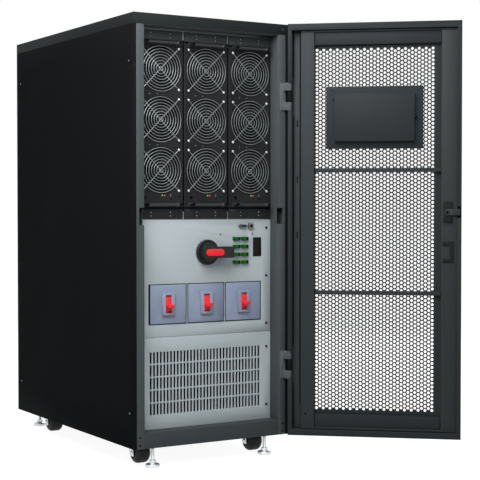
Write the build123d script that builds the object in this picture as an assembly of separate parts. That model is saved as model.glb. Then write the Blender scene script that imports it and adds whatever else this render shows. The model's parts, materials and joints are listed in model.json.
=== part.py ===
from build123d import *
import os
from math import cos, radians, sqrt

# Modular power cabinet: three slide-in power modules over a switch panel, behind an open mesh door.
# Frame: X to the right, Y to the back, Z up. The origin lies on the floor under the middle of the body.

# Sheet metal and general clearances
SHEET = 2.0
RUNNING_GAP = 0.3
PANEL_GAP = 0.5

# How far a cutting block runs past the face that it opens
OVERCUT = 1.0

# Cabinet body
BODY_DEPTH = 780.0
FLOOR_GAP = 52.0
SIDE_PANEL_DEPTH = 8.0
POST_FLANGE = 22.0
POST_WEB = 60.0
RECESS = 40.0
SILL_HEIGHT = 40.0
BASE_PLATE = 3.0
TOP_SKIRT = 28.0
TOP_REVEAL = 7.0
POST_NOTCH_WIDTH = 13.5
POST_NOTCH_DEPTH = 10.0
POST_NOTCH_HEIGHT = 43.0
POST_NOTCH_BELOW_MODULES = 14.0
STRIP_LAP = 22.0

# Power modules, each a standard rack plate on edge with three fans behind it
MODULE_COUNT = 3
MODULE_PLATE_WIDTH = 129.5
MODULE_PLATE_HEIGHT = 482.0
MODULE_PLATE = 2.0
MODULE_SPACING = 4.0
MODULE_SIDE_GAP = 1.75
MODULE_REVEAL = 2.0
CASE_SIDE_LIP = 2.75
CASE_DEPTH = 590.0
CASE_RAISE = 20.0
CASE_TOP_LIP = 22.0
FAN_COUNT = 3
FAN_SPACING = 11.3
FAN_RAISE = 13.9
FAN_POCKET_LAP = 2.0
FAN_POCKET_DEPTH = 30.0
FAN_POCKET_SIDES = 20
FAN_HUB_RADIUS = 20.0
FAN_HUB_SIDES = 8
FAN_HUB_HEIGHT = 24.0
FAN_BLADES = 5
FAN_BLADE_CHORD = 26.0
FAN_BLADE_THICKNESS = 2.0
FAN_BLADE_TILT = 38.0
FAN_TIP_GAP = 3.0

# Wire guards over the fans
GUARD_EDGE = 5.75
GUARD_PITCH = 7.4
GUARD_WIRE = 2.4
GUARD_SIDES = 8
GUARD_INNER_SIDES = 6
GUARD_INNER_LIMIT = 30.0
GUARD_EYE_SIDES = 4
GUARD_CENTRE_RADIUS = 6.0
GUARD_SCREW_INSET = 6.5
GUARD_EYE_RADIUS = 5.0
GUARD_BAR = 3.0

# Pull handles of the modules
HANDLE_SPAN = 106.0
HANDLE_REACH = 38.0
HANDLE_BAR_RADIUS = 4.5
HANDLE_BAR_SIDES = 8
HANDLE_LOW = 37.0
HANDLE_FROM_TOP = 32.0

# Switch panel and what is set in it
SWITCH_FIELD_HEIGHT = 166.0
BREAKER_COUNT = 3
BREAKER_FROM_SIDE = 33.0
BREAKER_HEIGHT = 100.5
BREAKER_SPACING = 6.5
BREAKER_RAISE = 34.0
BREAKER_PROUD = 1.0
BREAKER_BACK_WALL = 12.0
BREAKER_FRAME_WIDTH = 36.0
BREAKER_FRAME_HEIGHT = 58.0
BREAKER_FRAME_DEPTH = 6.0
TOGGLE_RADIUS = 40.0
TOGGLE_WIDTH = 16.0
TOGGLE_SLOT = 46.0
TOGGLE_LEVER = 8.5
TOGGLE_REACH = 16.0
TOGGLE_REST_TILT = 5.0
ROTARY_X = 2.0
ROTARY_FROM_TOP = 84.5
ROTARY_BASE_RADIUS = 33.0
ROTARY_BASE_DEPTH = 10.0
ROTARY_HUB_RADIUS = 25.0
ROTARY_HUB_DEPTH = 8.0
ROTARY_LEVER_LENGTH = 66.0
ROTARY_LEVER_TAIL = 24.0
ROTARY_LEVER_WIDTH = 30.0
ROTARY_LEVER_DEPTH = 14.0
ROTARY_LEVER_ROUND = 6.0
ROTARY_GRIP_LENGTH = 54.0
ROTARY_GRIP_TAIL = 19.0
ROTARY_GRIP_WIDTH = 18.0
ROTARY_GRIP_RISE = 2.0
TERMINAL_COLUMNS = 2
TERMINAL_ROWS = 4
TERMINAL_WIDTH = 20.0
TERMINAL_HEIGHT = 9.3
TERMINAL_DEPTH = 12.0
TERMINAL_PROUD = 7.0
TERMINAL_COLUMN_PITCH = 25.2
TERMINAL_ROW_PITCH = 20.7
TERMINAL_TO_CARD = 17.8
TERMINAL_FROM_TOP = 81.5
PORT_DEPTH = 10.0
PORT_PROUD = 4.0
SERIAL_SHIFT = 8.4
SERIAL_WIDTH = 20.2
SERIAL_HEIGHT = 9.0
PORT_FROM_TOP = 17.0
SQUARE_PORT_GAP = 7.0
SQUARE_PORT_SIZE = 14.5
CARD_FROM_SIDE = 29.7
CARD_WIDTH = 25.6
CARD_HEIGHT = 50.7
CARD_FROM_TOP = 73.0
CARD_PROUD = 1.0

# Vent panel with its field of upright slots
VENT_PANEL_HEIGHT = 235.0
VENT_COLUMNS = 34
VENT_ROWS = 5
VENT_SLOT_WIDTH = 5.2
VENT_SLOT_HEIGHT = 29.0
VENT_UPRIGHT_BAR = 4.64
VENT_LEVEL_BAR = 4.0

# Rear panel with fields of level slots
REAR_ROWS = 8
REAR_SLOT_LENGTH = 96.0
REAR_SLOT_HEIGHT = 10.0
REAR_BAR = 20.0
REAR_FROM_TOP = 237.0

# Shelf and rails inside
SHELF = 3.0
SHELF_RAIL_HEIGHT = 36.0
SHELF_LEDGE = 12.0
SHELF_SETBACK = 60.0
TOP_RAIL_RISE = 5.5

# Hinges
PIVOT_INWARD = 5.5
PIVOT_FORWARD = 15.0
PIN_RADIUS = 2.5
PIN_CLEARANCE = 0.05
KNUCKLE_RADIUS = 6.0
KNUCKLE_GAP = 0.5
HINGE_HEIGHT = 73.0
HINGE_EAR = 21.0
HINGE_PLATE_WIDTH = 17.5
HINGE_PLATE_INSET = 1.0
HINGE_HIGH_FROM_TOP = 192.0
HINGE_LOW = 188.5
HINGE_CLEARANCE = 6.0
LEAF_WIDTH = 7.5

# Door, measured from its hinge edge and from its foot
DOOR_SIDE_GAP = 2.0
DOOR_END_GAP = 1.0
DOOR_DEPTH = 30.0
DOOR_GAP = 5.0
DOOR_OPEN_ANGLE = 139.4
RIM_SIDE = 11.0
RIM_TOP = 17.0
WINDOW_HINGE_MARGIN = 70.0
WINDOW_LATCH_MARGIN = 70.0
MESH_SHEET = 1.0
MESH_LAP = 6.0
MESH_BAR = 11.5
MESH_COLUMNS = 8
MESH_LOWER_ROWS = 9
MESH_UPPER_ROWS = 1
HINGE_STILE_WIDTH = 36.0
LATCH_STILE_WIDTH = 41.0
LATCH_STILE_INSET = 12.0
STILE_END_GAP = 22.0
RAIL_HEIGHT = 34.0
RAIL_GAP = 8.0
RAIL_DEPTH = 14.0
CROSSBAR_HEIGHT = 11.0
CROSSBAR_DEPTH = 10.0
CROSSBAR_BELOW_DISPLAY = 51.0
CROSSBAR_SPACING = 325.0
DISPLAY_BELOW_WINDOW = 95.5
DISPLAY_SIDE_LIP = 22.5
DISPLAY_END_LIP = 19.5
DISPLAY_FLANGE = 3.0
DISPLAY_COVER_WIDTH = 211.0
DISPLAY_COVER_HEIGHT = 126.0
DISPLAY_COVER_DEPTH = 16.0
BEZEL_SIDE_LAP = 12.5
BEZEL_END_LAP = 10.0
BEZEL_DEPTH = 6.0
SCREEN_WIDTH = 124.0
SCREEN_HEIGHT = 72.0
SCREEN_SINK = 2.0
LOCK_RAISE = 595.0
LOCK_FROM_EDGE = 35.0
LOCK_WIDTH = 24.0
LOCK_HEIGHT = 55.0
LOCK_DEPTH = 4.0
CAM_RADIUS = 9.0
CAM_END_GAP = 2.0
CAM_WIDTH = 17.0
CAM_THICKNESS = 2.2
RIM_NOTCH_HEIGHT = 30.0
CLIP_BELOW_LOCK = 49.5
CLIP_WIDTH = 28.0
CLIP_HEIGHT = 54.0
CLIP_ARM = 9.0
PULL_WIDTH = 28.0
PULL_HEIGHT = 130.0
PULL_DEPTH = 14.0

# Levelling feet and casters
FOOT_INSET = 54.0
FOOT_FROM_END = 20.0
FOOT_RADIUS = 18.5
FOOT_HEIGHT = 10.0
STUD_RADIUS = 4.8
NUT_RADIUS = 9.0
NUT_HEIGHT = 8.0
NUT_SIDES = 6
CASTER_INSET = 52.0
CASTER_FROM_END = 110.0
CASTER_PLATE_SIZE = 56.0
CASTER_PLATE = 3.0
CASTER_TRAIL = 24.0
KINGPIN_RADIUS = 5.0
KINGPIN_END = 2.0
CROWN_RADIUS = 22.0
CROWN_SIDES = 12
CROWN_HEIGHT = 6.0
FORK_CHEEK = 2.5
FORK_CHEEK_FOOT = 9.0
FORK_SIDE_GAP = 2.0
WHEEL_RADIUS = 28.0
WHEEL_WIDTH = 40.0
WHEEL_FLOOR_GAP = 1.0
AXLE_RADIUS = 4.0

# Places that follow from the sizes above
MODULE_PITCH = MODULE_PLATE_WIDTH + MODULE_SPACING
CASE_WIDTH = MODULE_PLATE_WIDTH - 2 * CASE_SIDE_LIP
GUARD_RADIUS = MODULE_PLATE_WIDTH / 2 - GUARD_EDGE
GUARD_SCREW_REACH = GUARD_RADIUS - GUARD_SCREW_INSET
FAN_POCKET_RADIUS = GUARD_RADIUS - FAN_POCKET_LAP
FAN_PITCH = 2 * GUARD_RADIUS + FAN_SPACING
SWITCH_PANEL_HEIGHT = BREAKER_RAISE + BREAKER_HEIGHT + SWITCH_FIELD_HEIGHT
OPENING_WIDTH = MODULE_COUNT * MODULE_PITCH - MODULE_SPACING + 2 * MODULE_SIDE_GAP
OPEN_HALF = OPENING_WIDTH / 2
BREAKER_PITCH = (OPENING_WIDTH - 2 * BREAKER_FROM_SIDE + BREAKER_SPACING) / BREAKER_COUNT
BREAKER_WIDTH = BREAKER_PITCH - BREAKER_SPACING
INNER_HALF = OPEN_HALF + POST_FLANGE
BODY_HALF = INNER_HALF + SIDE_PANEL_DEPTH
FRONT = -BODY_DEPTH / 2
BACK = BODY_DEPTH / 2
BOTTOM = FLOOR_GAP
LEDGE = BOTTOM + SILL_HEIGHT
BASE_LOW = LEDGE - BASE_PLATE
VENT_TOP = LEDGE + VENT_PANEL_HEIGHT
SWITCH_LOW = VENT_TOP + PANEL_GAP
SWITCH_TOP = SWITCH_LOW + SWITCH_PANEL_HEIGHT
MODULE_LOW = SWITCH_TOP + MODULE_REVEAL
MODULE_TOP = MODULE_LOW + MODULE_PLATE_HEIGHT
SKIRT_LOW = MODULE_TOP + TOP_REVEAL
TOP = SKIRT_LOW + TOP_SKIRT
PANEL_FRONT = FRONT + RECESS
PANEL_BACK = PANEL_FRONT + SHEET
STRIP_BACK = PANEL_BACK + SHEET
PLATE_FRONT = PANEL_BACK - RUNNING_GAP - MODULE_PLATE
PLATE_BACK = PLATE_FRONT + MODULE_PLATE
CASE_LOW = MODULE_LOW + CASE_RAISE
CASE_TOP = MODULE_TOP - CASE_TOP_LIP
SHELF_TOP = CASE_LOW - RUNNING_GAP
PIVOT_X = BODY_HALF - PIVOT_INWARD
PIVOT_Y = FRONT - PIVOT_FORWARD
DOOR_HALF = BODY_HALF - DOOR_SIDE_GAP
DOOR_BACK = FRONT - DOOR_GAP
DOOR_FRONT = DOOR_BACK - DOOR_DEPTH
DOOR_SKIN = DOOR_FRONT + SHEET
MESH_BACK = DOOR_SKIN + MESH_SHEET
CAM_FACE = DOOR_BACK - SHEET - PANEL_GAP
LOCK_FACE = CAM_FACE - CAM_THICKNESS - RUNNING_GAP
STILE_FACE = LOCK_FACE - LOCK_DEPTH
DOOR_LOW = BOTTOM + DOOR_END_GAP
DOOR_TOP = TOP - DOOR_END_GAP
WINDOW_RIGHT = DOOR_HALF - WINDOW_HINGE_MARGIN
WINDOW_LEFT = -DOOR_HALF + WINDOW_LATCH_MARGIN
WINDOW_END_MARGIN = STILE_END_GAP + RAIL_HEIGHT + RAIL_GAP + MESH_LAP
WINDOW_LOW = DOOR_LOW + WINDOW_END_MARGIN
WINDOW_TOP = DOOR_TOP - WINDOW_END_MARGIN
LATCH_STILE_LEFT = -DOOR_HALF + LATCH_STILE_INSET
LATCH_STILE_RIGHT = LATCH_STILE_LEFT + LATCH_STILE_WIDTH
HINGE_CENTRES = (BOTTOM + HINGE_LOW, TOP - HINGE_HIGH_FROM_TOP)
BREAKER_FRONT = PANEL_FRONT - BREAKER_PROUD
TOGGLE_AXIS_Y = BREAKER_FRONT + sqrt(TOGGLE_RADIUS ** 2 - (TOGGLE_SLOT / 2) ** 2)
ROTARY_Z = SWITCH_TOP - ROTARY_FROM_TOP
ROTARY_FRONT = PANEL_FRONT - ROTARY_BASE_DEPTH
HUB_FRONT = ROTARY_FRONT - RUNNING_GAP - ROTARY_HUB_DEPTH
LEVER_FRONT = HUB_FRONT - ROTARY_LEVER_DEPTH
CARD_X = OPEN_HALF - CARD_FROM_SIDE - CARD_WIDTH / 2
TERMINAL_SPAN = (TERMINAL_COLUMNS - 1) * TERMINAL_COLUMN_PITCH + TERMINAL_WIDTH
TERMINAL_X = CARD_X - CARD_WIDTH / 2 - TERMINAL_TO_CARD - TERMINAL_SPAN / 2
SERIAL_X = TERMINAL_X + SERIAL_SHIFT
SQUARE_PORT_X = SERIAL_X + SERIAL_WIDTH / 2 + SQUARE_PORT_GAP + SQUARE_PORT_SIZE / 2
DISPLAY_WIDTH = DISPLAY_COVER_WIDTH + 2 * DISPLAY_SIDE_LIP
DISPLAY_HEIGHT = DISPLAY_COVER_HEIGHT + 2 * DISPLAY_END_LIP
DISPLAY_Z = WINDOW_TOP - DISPLAY_BELOW_WINDOW - DISPLAY_HEIGHT / 2
LOCK_X = -DOOR_HALF + LOCK_FROM_EDGE
LOCK_Z = DOOR_LOW + LOCK_RAISE
AXLE_Z = WHEEL_FLOOR_GAP + WHEEL_RADIUS
CROWN_TOP = BASE_LOW - CASTER_PLATE - RUNNING_GAP
CROWN_LOW = CROWN_TOP - CROWN_HEIGHT
CHEEK_X = WHEEL_WIDTH / 2 + FORK_SIDE_GAP


def block(x_range, y_range, z_range):
    """A box between two values on each axis."""
    middle = [(low + high) / 2 for low, high in (x_range, y_range, z_range)]
    size = [high - low for low, high in (x_range, y_range, z_range)]
    return Pos(*middle) * Box(*size)


def about(middle, size):
    """The range of a given size about its middle."""
    return middle - size / 2, middle + size / 2


def both_sides(shape):
    """A shape and its mirror image across the middle of the cabinet."""
    return [shape, mirror(shape, Plane.YZ)]


def facing(sketch, x, y, z, depth):
    """A sketch drawn as seen from the front, pushed back from y by a depth."""
    plane = Plane(origin=(x, y, z), x_dir=(1, 0, 0), z_dir=(0, -1, 0))
    return extrude(plane * sketch, -depth)


def save(name, *shapes):
    """Write the solids of one named piece."""
    solids = [solid for shape in shapes for solid in shape.solids()]
    piece = solids[0] if len(solids) == 1 else Compound(children=solids)
    export_step(piece, f"parts/{name}.step")


def module_centres():
    """The middles of the modules from left to right."""
    first = -(MODULE_COUNT - 1) * MODULE_PITCH / 2
    return [first + index * MODULE_PITCH for index in range(MODULE_COUNT)]


def fan_heights():
    """The heights of the fans of one module."""
    middle = (MODULE_LOW + MODULE_TOP) / 2 + FAN_RAISE
    first = middle - (FAN_COUNT - 1) * FAN_PITCH / 2
    return [first + index * FAN_PITCH for index in range(FAN_COUNT)]


def base_frame():
    """An inverted tray that carries the posts and holds the feet and casters under its plate."""
    across = (-INNER_HALF, INNER_HALF)
    along = (FRONT + SHEET, BACK - SHEET)
    frame = block(across, along, (BASE_LOW, LEDGE))
    for side in (-1, 1):
        skirt = sorted((side * INNER_HALF, side * (INNER_HALF - SHEET)))
        frame += block(skirt, along, (BOTTOM, BASE_LOW))
    frame += block(across, (BACK - 2 * SHEET, BACK - SHEET), (BOTTOM, BASE_LOW))
    return frame


def front_sill():
    """The plain plate that closes the base between the front posts."""
    return block((-OPEN_HALF, OPEN_HALF), (FRONT, FRONT + SHEET), (BOTTOM, LEDGE))


def front_post():
    """The right front post: flange, outer web, inner return and the notch at its corner."""
    height = (LEDGE, SKIRT_LOW)
    post = block((OPEN_HALF, INNER_HALF), (FRONT, FRONT + SHEET), (BOTTOM, SKIRT_LOW))
    post += block((INNER_HALF - SHEET, INNER_HALF), (FRONT + SHEET, FRONT + POST_WEB), height)
    post += block((OPEN_HALF, OPEN_HALF + SHEET), (FRONT + SHEET, PANEL_BACK), height)
    notch_low = MODULE_LOW - POST_NOTCH_BELOW_MODULES
    notch_x = (OPEN_HALF - OVERCUT, OPEN_HALF + POST_NOTCH_WIDTH)
    notch_y = (FRONT - OVERCUT, FRONT + POST_NOTCH_DEPTH)
    return post - block(notch_x, notch_y, (notch_low, notch_low + POST_NOTCH_HEIGHT))


def rear_post():
    """The right rear post, a plain angle."""
    post = block((OPEN_HALF, INNER_HALF), (BACK - SHEET, BACK), (BOTTOM, SKIRT_LOW))
    web_y = (BACK - POST_WEB, BACK - SHEET)
    return post + block((INNER_HALF - SHEET, INNER_HALF), web_y, (LEDGE, SKIRT_LOW))


def side_panel():
    """The right side panel, a shallow pan open towards the posts."""
    pan = block((INNER_HALF, BODY_HALF), (FRONT, BACK), (BOTTOM, SKIRT_LOW))
    hollow_y = (FRONT + SHEET, BACK - SHEET)
    hollow_z = (BOTTOM + SHEET, SKIRT_LOW - SHEET)
    return pan - block((INNER_HALF - OVERCUT, BODY_HALF - SHEET), hollow_y, hollow_z)


def top_cover():
    """The lid with its skirt all round."""
    lid = block((-BODY_HALF, BODY_HALF), (FRONT, BACK), (SKIRT_LOW, TOP))
    inner = BODY_HALF - SHEET
    return lid - block((-inner, inner), (FRONT + SHEET, BACK - SHEET), (SKIRT_LOW - OVERCUT, TOP - SHEET))


def shelf_rail():
    """The right angle that carries the module shelf from post to post."""
    outer = INNER_HALF - SHEET
    along = (STRIP_BACK, BACK - SHELF_SETBACK / 2)
    seat = SHELF_TOP - SHELF
    rail = block((outer - SHEET, outer), along, (seat - SHELF_RAIL_HEIGHT, seat))
    return rail + block((OPEN_HALF - SHELF_LEDGE, outer - SHEET), along, (seat - SHEET, seat))


def module_shelf():
    """The shelf under the modules."""
    half = INNER_HALF - 2 * SHEET
    return block((-half, half), (STRIP_BACK, BACK - SHELF_SETBACK), (SHELF_TOP - SHELF, SHELF_TOP))


def module_rails():
    """The level bars behind the modules' upper and lower ears."""
    half = INNER_HALF - SHEET
    depth = (PANEL_BACK, STRIP_BACK)
    low_rail = block((-half, half), depth, (SWITCH_TOP, SHELF_TOP))
    high_rail = block((-half, half), depth, (CASE_TOP + PANEL_GAP, MODULE_TOP + TOP_RAIL_RISE))
    return low_rail, high_rail


def panel_strip():
    """The right upright strip that the switch panel and the vent panel are screwed to."""
    return block((OPEN_HALF - STRIP_LAP, INNER_HALF - SHEET), (PANEL_BACK, STRIP_BACK), (LEDGE, SWITCH_TOP))


def rear_panel():
    """The rear panel with its fields of level slots."""
    half = INNER_HALF - SHEET - PANEL_GAP
    height = SKIRT_LOW - LEDGE
    sheet = Rectangle(2 * half, height)
    slots = GridLocations(MODULE_PITCH, REAR_SLOT_HEIGHT + REAR_BAR, MODULE_COUNT, REAR_ROWS)
    field = Pos(0, height / 2 - REAR_FROM_TOP) * slots
    sheet -= field * Rectangle(REAR_SLOT_LENGTH, REAR_SLOT_HEIGHT)
    return facing(sheet, 0, BACK - 2 * SHEET, LEDGE + height / 2, SHEET)


def breaker_places():
    """The middle of each breaker window as seen from the front."""
    first = -(BREAKER_COUNT - 1) * BREAKER_PITCH / 2
    height = SWITCH_LOW + BREAKER_RAISE + BREAKER_HEIGHT / 2
    return [(first + index * BREAKER_PITCH, height) for index in range(BREAKER_COUNT)]


def terminal_places():
    """The middle of each terminal block as seen from the front."""
    left = TERMINAL_X - (TERMINAL_COLUMNS - 1) * TERMINAL_COLUMN_PITCH / 2
    top = SWITCH_TOP - TERMINAL_FROM_TOP + (TERMINAL_ROWS - 1) * TERMINAL_ROW_PITCH / 2
    columns = [left + index * TERMINAL_COLUMN_PITCH for index in range(TERMINAL_COLUMNS)]
    rows = [top - index * TERMINAL_ROW_PITCH for index in range(TERMINAL_ROWS)]
    return [(x, z) for x in columns for z in rows]


def port_places():
    """The middle and size of the two data ports and the card slot."""
    port_height = SWITCH_TOP - PORT_FROM_TOP
    return [
        (SERIAL_X, port_height, SERIAL_WIDTH, SERIAL_HEIGHT, PORT_PROUD),
        (SQUARE_PORT_X, port_height, SQUARE_PORT_SIZE, SQUARE_PORT_SIZE, PORT_PROUD),
        (CARD_X, SWITCH_TOP - CARD_FROM_TOP, CARD_WIDTH, CARD_HEIGHT, CARD_PROUD),
    ]


def switch_panel():
    """The panel with windows for the breakers and cut-outs for the terminals and ports."""
    middle = (SWITCH_LOW + SWITCH_TOP) / 2
    sheet = Rectangle(OPENING_WIDTH - 2 * PANEL_GAP, SWITCH_PANEL_HEIGHT)
    for x, z in breaker_places():
        sheet -= Pos(x, z - middle) * Rectangle(BREAKER_WIDTH, BREAKER_HEIGHT)
    for x, z in terminal_places():
        sheet -= Pos(x, z - middle) * Rectangle(TERMINAL_WIDTH, TERMINAL_HEIGHT)
    for x, z, width, height, proud in port_places():
        sheet -= Pos(x, z - middle) * Rectangle(width, height)
    return facing(sheet, 0, PANEL_FRONT, middle, SHEET)


def vent_panel():
    """The lower panel with rows of upright slots."""
    middle = (LEDGE + VENT_TOP) / 2
    sheet = Rectangle(OPENING_WIDTH - 2 * PANEL_GAP, VENT_PANEL_HEIGHT)
    column_pitch = VENT_SLOT_WIDTH + VENT_UPRIGHT_BAR
    row_pitch = VENT_SLOT_HEIGHT + VENT_LEVEL_BAR
    slots = GridLocations(column_pitch, row_pitch, VENT_COLUMNS, VENT_ROWS)
    sheet -= slots * Rectangle(VENT_SLOT_WIDTH, VENT_SLOT_HEIGHT)
    return facing(sheet, 0, PANEL_FRONT, middle, SHEET)


def breaker_body(x, z):
    """A breaker's housing with the pocket that its toggle turns in and the slot in front of it."""
    width = BREAKER_WIDTH - 2 * RUNNING_GAP
    height = BREAKER_HEIGHT - 2 * RUNNING_GAP
    pocket_back = TOGGLE_AXIS_Y + TOGGLE_RADIUS + RUNNING_GAP
    depth = pocket_back + BREAKER_BACK_WALL - BREAKER_FRONT
    body = facing(Rectangle(width, height), x, BREAKER_FRONT, z, depth)
    pocket = Rectangle(TOGGLE_WIDTH + 2 * RUNNING_GAP, 2 * (TOGGLE_RADIUS + RUNNING_GAP))
    inside = TOGGLE_AXIS_Y - BREAKER_FRONT - SHEET
    mouth_half = sqrt(TOGGLE_RADIUS ** 2 - inside ** 2) + RUNNING_GAP
    mouth = Rectangle(TOGGLE_WIDTH + 2 * RUNNING_GAP, 2 * mouth_half)
    body -= facing(pocket, x, BREAKER_FRONT + SHEET, z, pocket_back - BREAKER_FRONT - SHEET)
    return body - facing(mouth, x, BREAKER_FRONT, z, SHEET)


def breaker_frame(x, z):
    """The raised frame round a toggle."""
    frame = Rectangle(BREAKER_FRAME_WIDTH, BREAKER_FRAME_HEIGHT)
    frame -= Rectangle(TOGGLE_WIDTH + 2 * RUNNING_GAP, TOGGLE_SLOT + 2 * RUNNING_GAP)
    return facing(frame, x, BREAKER_FRONT - BREAKER_FRAME_DEPTH, z, BREAKER_FRAME_DEPTH)


def toggle(x, z):
    """A toggle: a round carrier on a level axis with a flat lever."""
    carrier = Cylinder(TOGGLE_RADIUS, TOGGLE_WIDTH, rotation=(0, 90, 0))
    lever = block(about(0, TOGGLE_WIDTH), (-TOGGLE_RADIUS - TOGGLE_REACH, 0), about(0, TOGGLE_LEVER))
    return Pos(x, TOGGLE_AXIS_Y, z) * Rot(TOGGLE_REST_TILT, 0, 0) * (carrier + lever)


def rotary_base():
    """The round base of the bypass switch."""
    base = Circle(ROTARY_BASE_RADIUS)
    return facing(base, ROTARY_X, ROTARY_FRONT, ROTARY_Z, ROTARY_BASE_DEPTH)


def rotary_handle():
    """The hub and lever of the bypass switch, with a pocket for the grip."""
    hub = facing(Circle(ROTARY_HUB_RADIUS), ROTARY_X, HUB_FRONT, ROTARY_Z, ROTARY_HUB_DEPTH)
    length = ROTARY_LEVER_LENGTH + ROTARY_LEVER_TAIL
    outline = fillet(Rectangle(length, ROTARY_LEVER_WIDTH).vertices(), ROTARY_LEVER_ROUND)
    outline = Pos((ROTARY_LEVER_LENGTH - ROTARY_LEVER_TAIL) / 2, 0) * outline
    lever = facing(outline, ROTARY_X, LEVER_FRONT, ROTARY_Z, ROTARY_LEVER_DEPTH)
    pocket = facing(grip_outline(), ROTARY_X, LEVER_FRONT, ROTARY_Z, ROTARY_GRIP_RISE)
    return hub + lever - pocket


def grip_outline():
    """The outline of the coloured grip in the lever."""
    length = ROTARY_GRIP_LENGTH
    return Pos(length / 2 - ROTARY_GRIP_TAIL, 0) * SlotOverall(length, ROTARY_GRIP_WIDTH)


def rotary_grip():
    """The coloured insert of the bypass lever."""
    depth = 2 * ROTARY_GRIP_RISE
    return facing(grip_outline(), ROTARY_X, LEVER_FRONT - ROTARY_GRIP_RISE, ROTARY_Z, depth)


def inset(x, z, width, height, proud, depth):
    """A connector that fills its cut-out and stands a little proud of the panel."""
    outline = Rectangle(width - RUNNING_GAP, height - RUNNING_GAP)
    return facing(outline, x, PANEL_FRONT - proud, z, depth)


def module_case(x):
    """A module: its rack plate and box, with the round pockets of the fans."""
    plate = block(about(x, MODULE_PLATE_WIDTH), (PLATE_FRONT, PLATE_BACK), (MODULE_LOW, MODULE_TOP))
    case = plate + block(about(x, CASE_WIDTH), (PLATE_BACK, PLATE_BACK + CASE_DEPTH), (CASE_LOW, CASE_TOP))
    for z in fan_heights():
        pocket = RegularPolygon(FAN_POCKET_RADIUS, FAN_POCKET_SIDES)
        case -= facing(pocket, x, PLATE_FRONT, z, FAN_POCKET_DEPTH)
    return case


def fan(x, z):
    """A fan's hub and slanted blades, seated on the floor of its pocket."""
    floor = PLATE_FRONT + FAN_POCKET_DEPTH
    hub = facing(RegularPolygon(FAN_HUB_RADIUS, FAN_HUB_SIDES), 0, -FAN_HUB_HEIGHT, 0, FAN_HUB_HEIGHT)
    root = FAN_HUB_RADIUS * cos(radians(180 / FAN_HUB_SIDES)) / 2
    tip = FAN_POCKET_RADIUS * cos(radians(180 / FAN_POCKET_SIDES)) - FAN_TIP_GAP
    level = (FAN_HUB_HEIGHT + RUNNING_GAP) / 2
    blade = Pos((root + tip) / 2, -level, 0) * Rot(FAN_BLADE_TILT, 0, 0) * Box(
        tip - root, FAN_BLADE_THICKNESS, FAN_BLADE_CHORD)
    wheel = hub
    for index in range(FAN_BLADES):
        wheel += Rot(0, index * 360 / FAN_BLADES, 0) * blade
    return Pos(x, floor, z) * wheel


def wire_guard(x, z):
    """A fan guard: wire rings on two crossed bars that end in screw eyes."""
    bars_front = PLATE_FRONT - GUARD_BAR
    rings_front = bars_front - GUARD_WIRE
    reach = GUARD_SCREW_REACH
    bars = Rot(0, 0, 45) * Rectangle(2 * sqrt(2) * reach, GUARD_BAR)
    bars += Rot(0, 0, -45) * Rectangle(2 * sqrt(2) * reach, GUARD_BAR)
    bars += GridLocations(2 * reach, 2 * reach, 2, 2) * RegularPolygon(GUARD_EYE_RADIUS, GUARD_EYE_SIDES)
    guard = facing(bars, x, bars_front, z, GUARD_BAR)
    rings = Sketch()
    count = 1 + int((GUARD_RADIUS - GUARD_CENTRE_RADIUS) / GUARD_PITCH)
    for index in range(count):
        radius = GUARD_RADIUS - index * GUARD_PITCH
        sides = GUARD_INNER_SIDES if radius < GUARD_INNER_LIMIT else GUARD_SIDES
        flat_on_bar = Rot(0, 0, 180 / sides)
        rings += flat_on_bar * (RegularPolygon(radius, sides) - RegularPolygon(radius - GUARD_WIRE, sides))
    return guard + facing(rings, x, rings_front, z, GUARD_WIRE)


def pull_handle(x, z):
    """A level bar on two short legs."""
    bar_y = PLATE_FRONT - HANDLE_REACH + HANDLE_BAR_RADIUS
    section = RegularPolygon(HANDLE_BAR_RADIUS, HANDLE_BAR_SIDES)
    half = HANDLE_SPAN / 2
    bar = extrude(Plane(origin=(x - half, bar_y, z), z_dir=(1, 0, 0)) * section, HANDLE_SPAN)
    leg_x = half - HANDLE_BAR_RADIUS
    for side in (-1, 1):
        leg = Plane(origin=(x + side * leg_x, PLATE_FRONT, z), z_dir=(0, -1, 0)) * section
        bar += extrude(leg, PLATE_FRONT - bar_y)
    return bar


def cabinet_hinge(middle):
    """The cabinet half of a hinge: plate, two ears and the pin."""
    low, high = about(middle, HINGE_HEIGHT)
    plate_right = INNER_HALF - HINGE_PLATE_INSET
    plate_left = plate_right - HINGE_PLATE_WIDTH
    hinge = block((plate_left, plate_right), (FRONT - SHEET, FRONT), (low, high))
    span = PIVOT_FORWARD - SHEET
    ear = Pos(PIVOT_X, PIVOT_Y) * Circle(KNUCKLE_RADIUS)
    strap_x = (plate_right + PIVOT_X) / 2 - KNUCKLE_RADIUS
    ear += Pos(strap_x, PIVOT_Y + span / 2) * Rectangle(KNUCKLE_RADIUS, span)
    ear += Pos(PIVOT_X - KNUCKLE_RADIUS / 2, PIVOT_Y) * Rectangle(KNUCKLE_RADIUS, 2 * KNUCKLE_RADIUS)
    for start in (low, high - HINGE_EAR):
        hinge += extrude(Pos(0, 0, start) * ear, HINGE_EAR)
    return hinge + Pos(PIVOT_X, PIVOT_Y, middle) * Cylinder(PIN_RADIUS, HINGE_HEIGHT)


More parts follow.
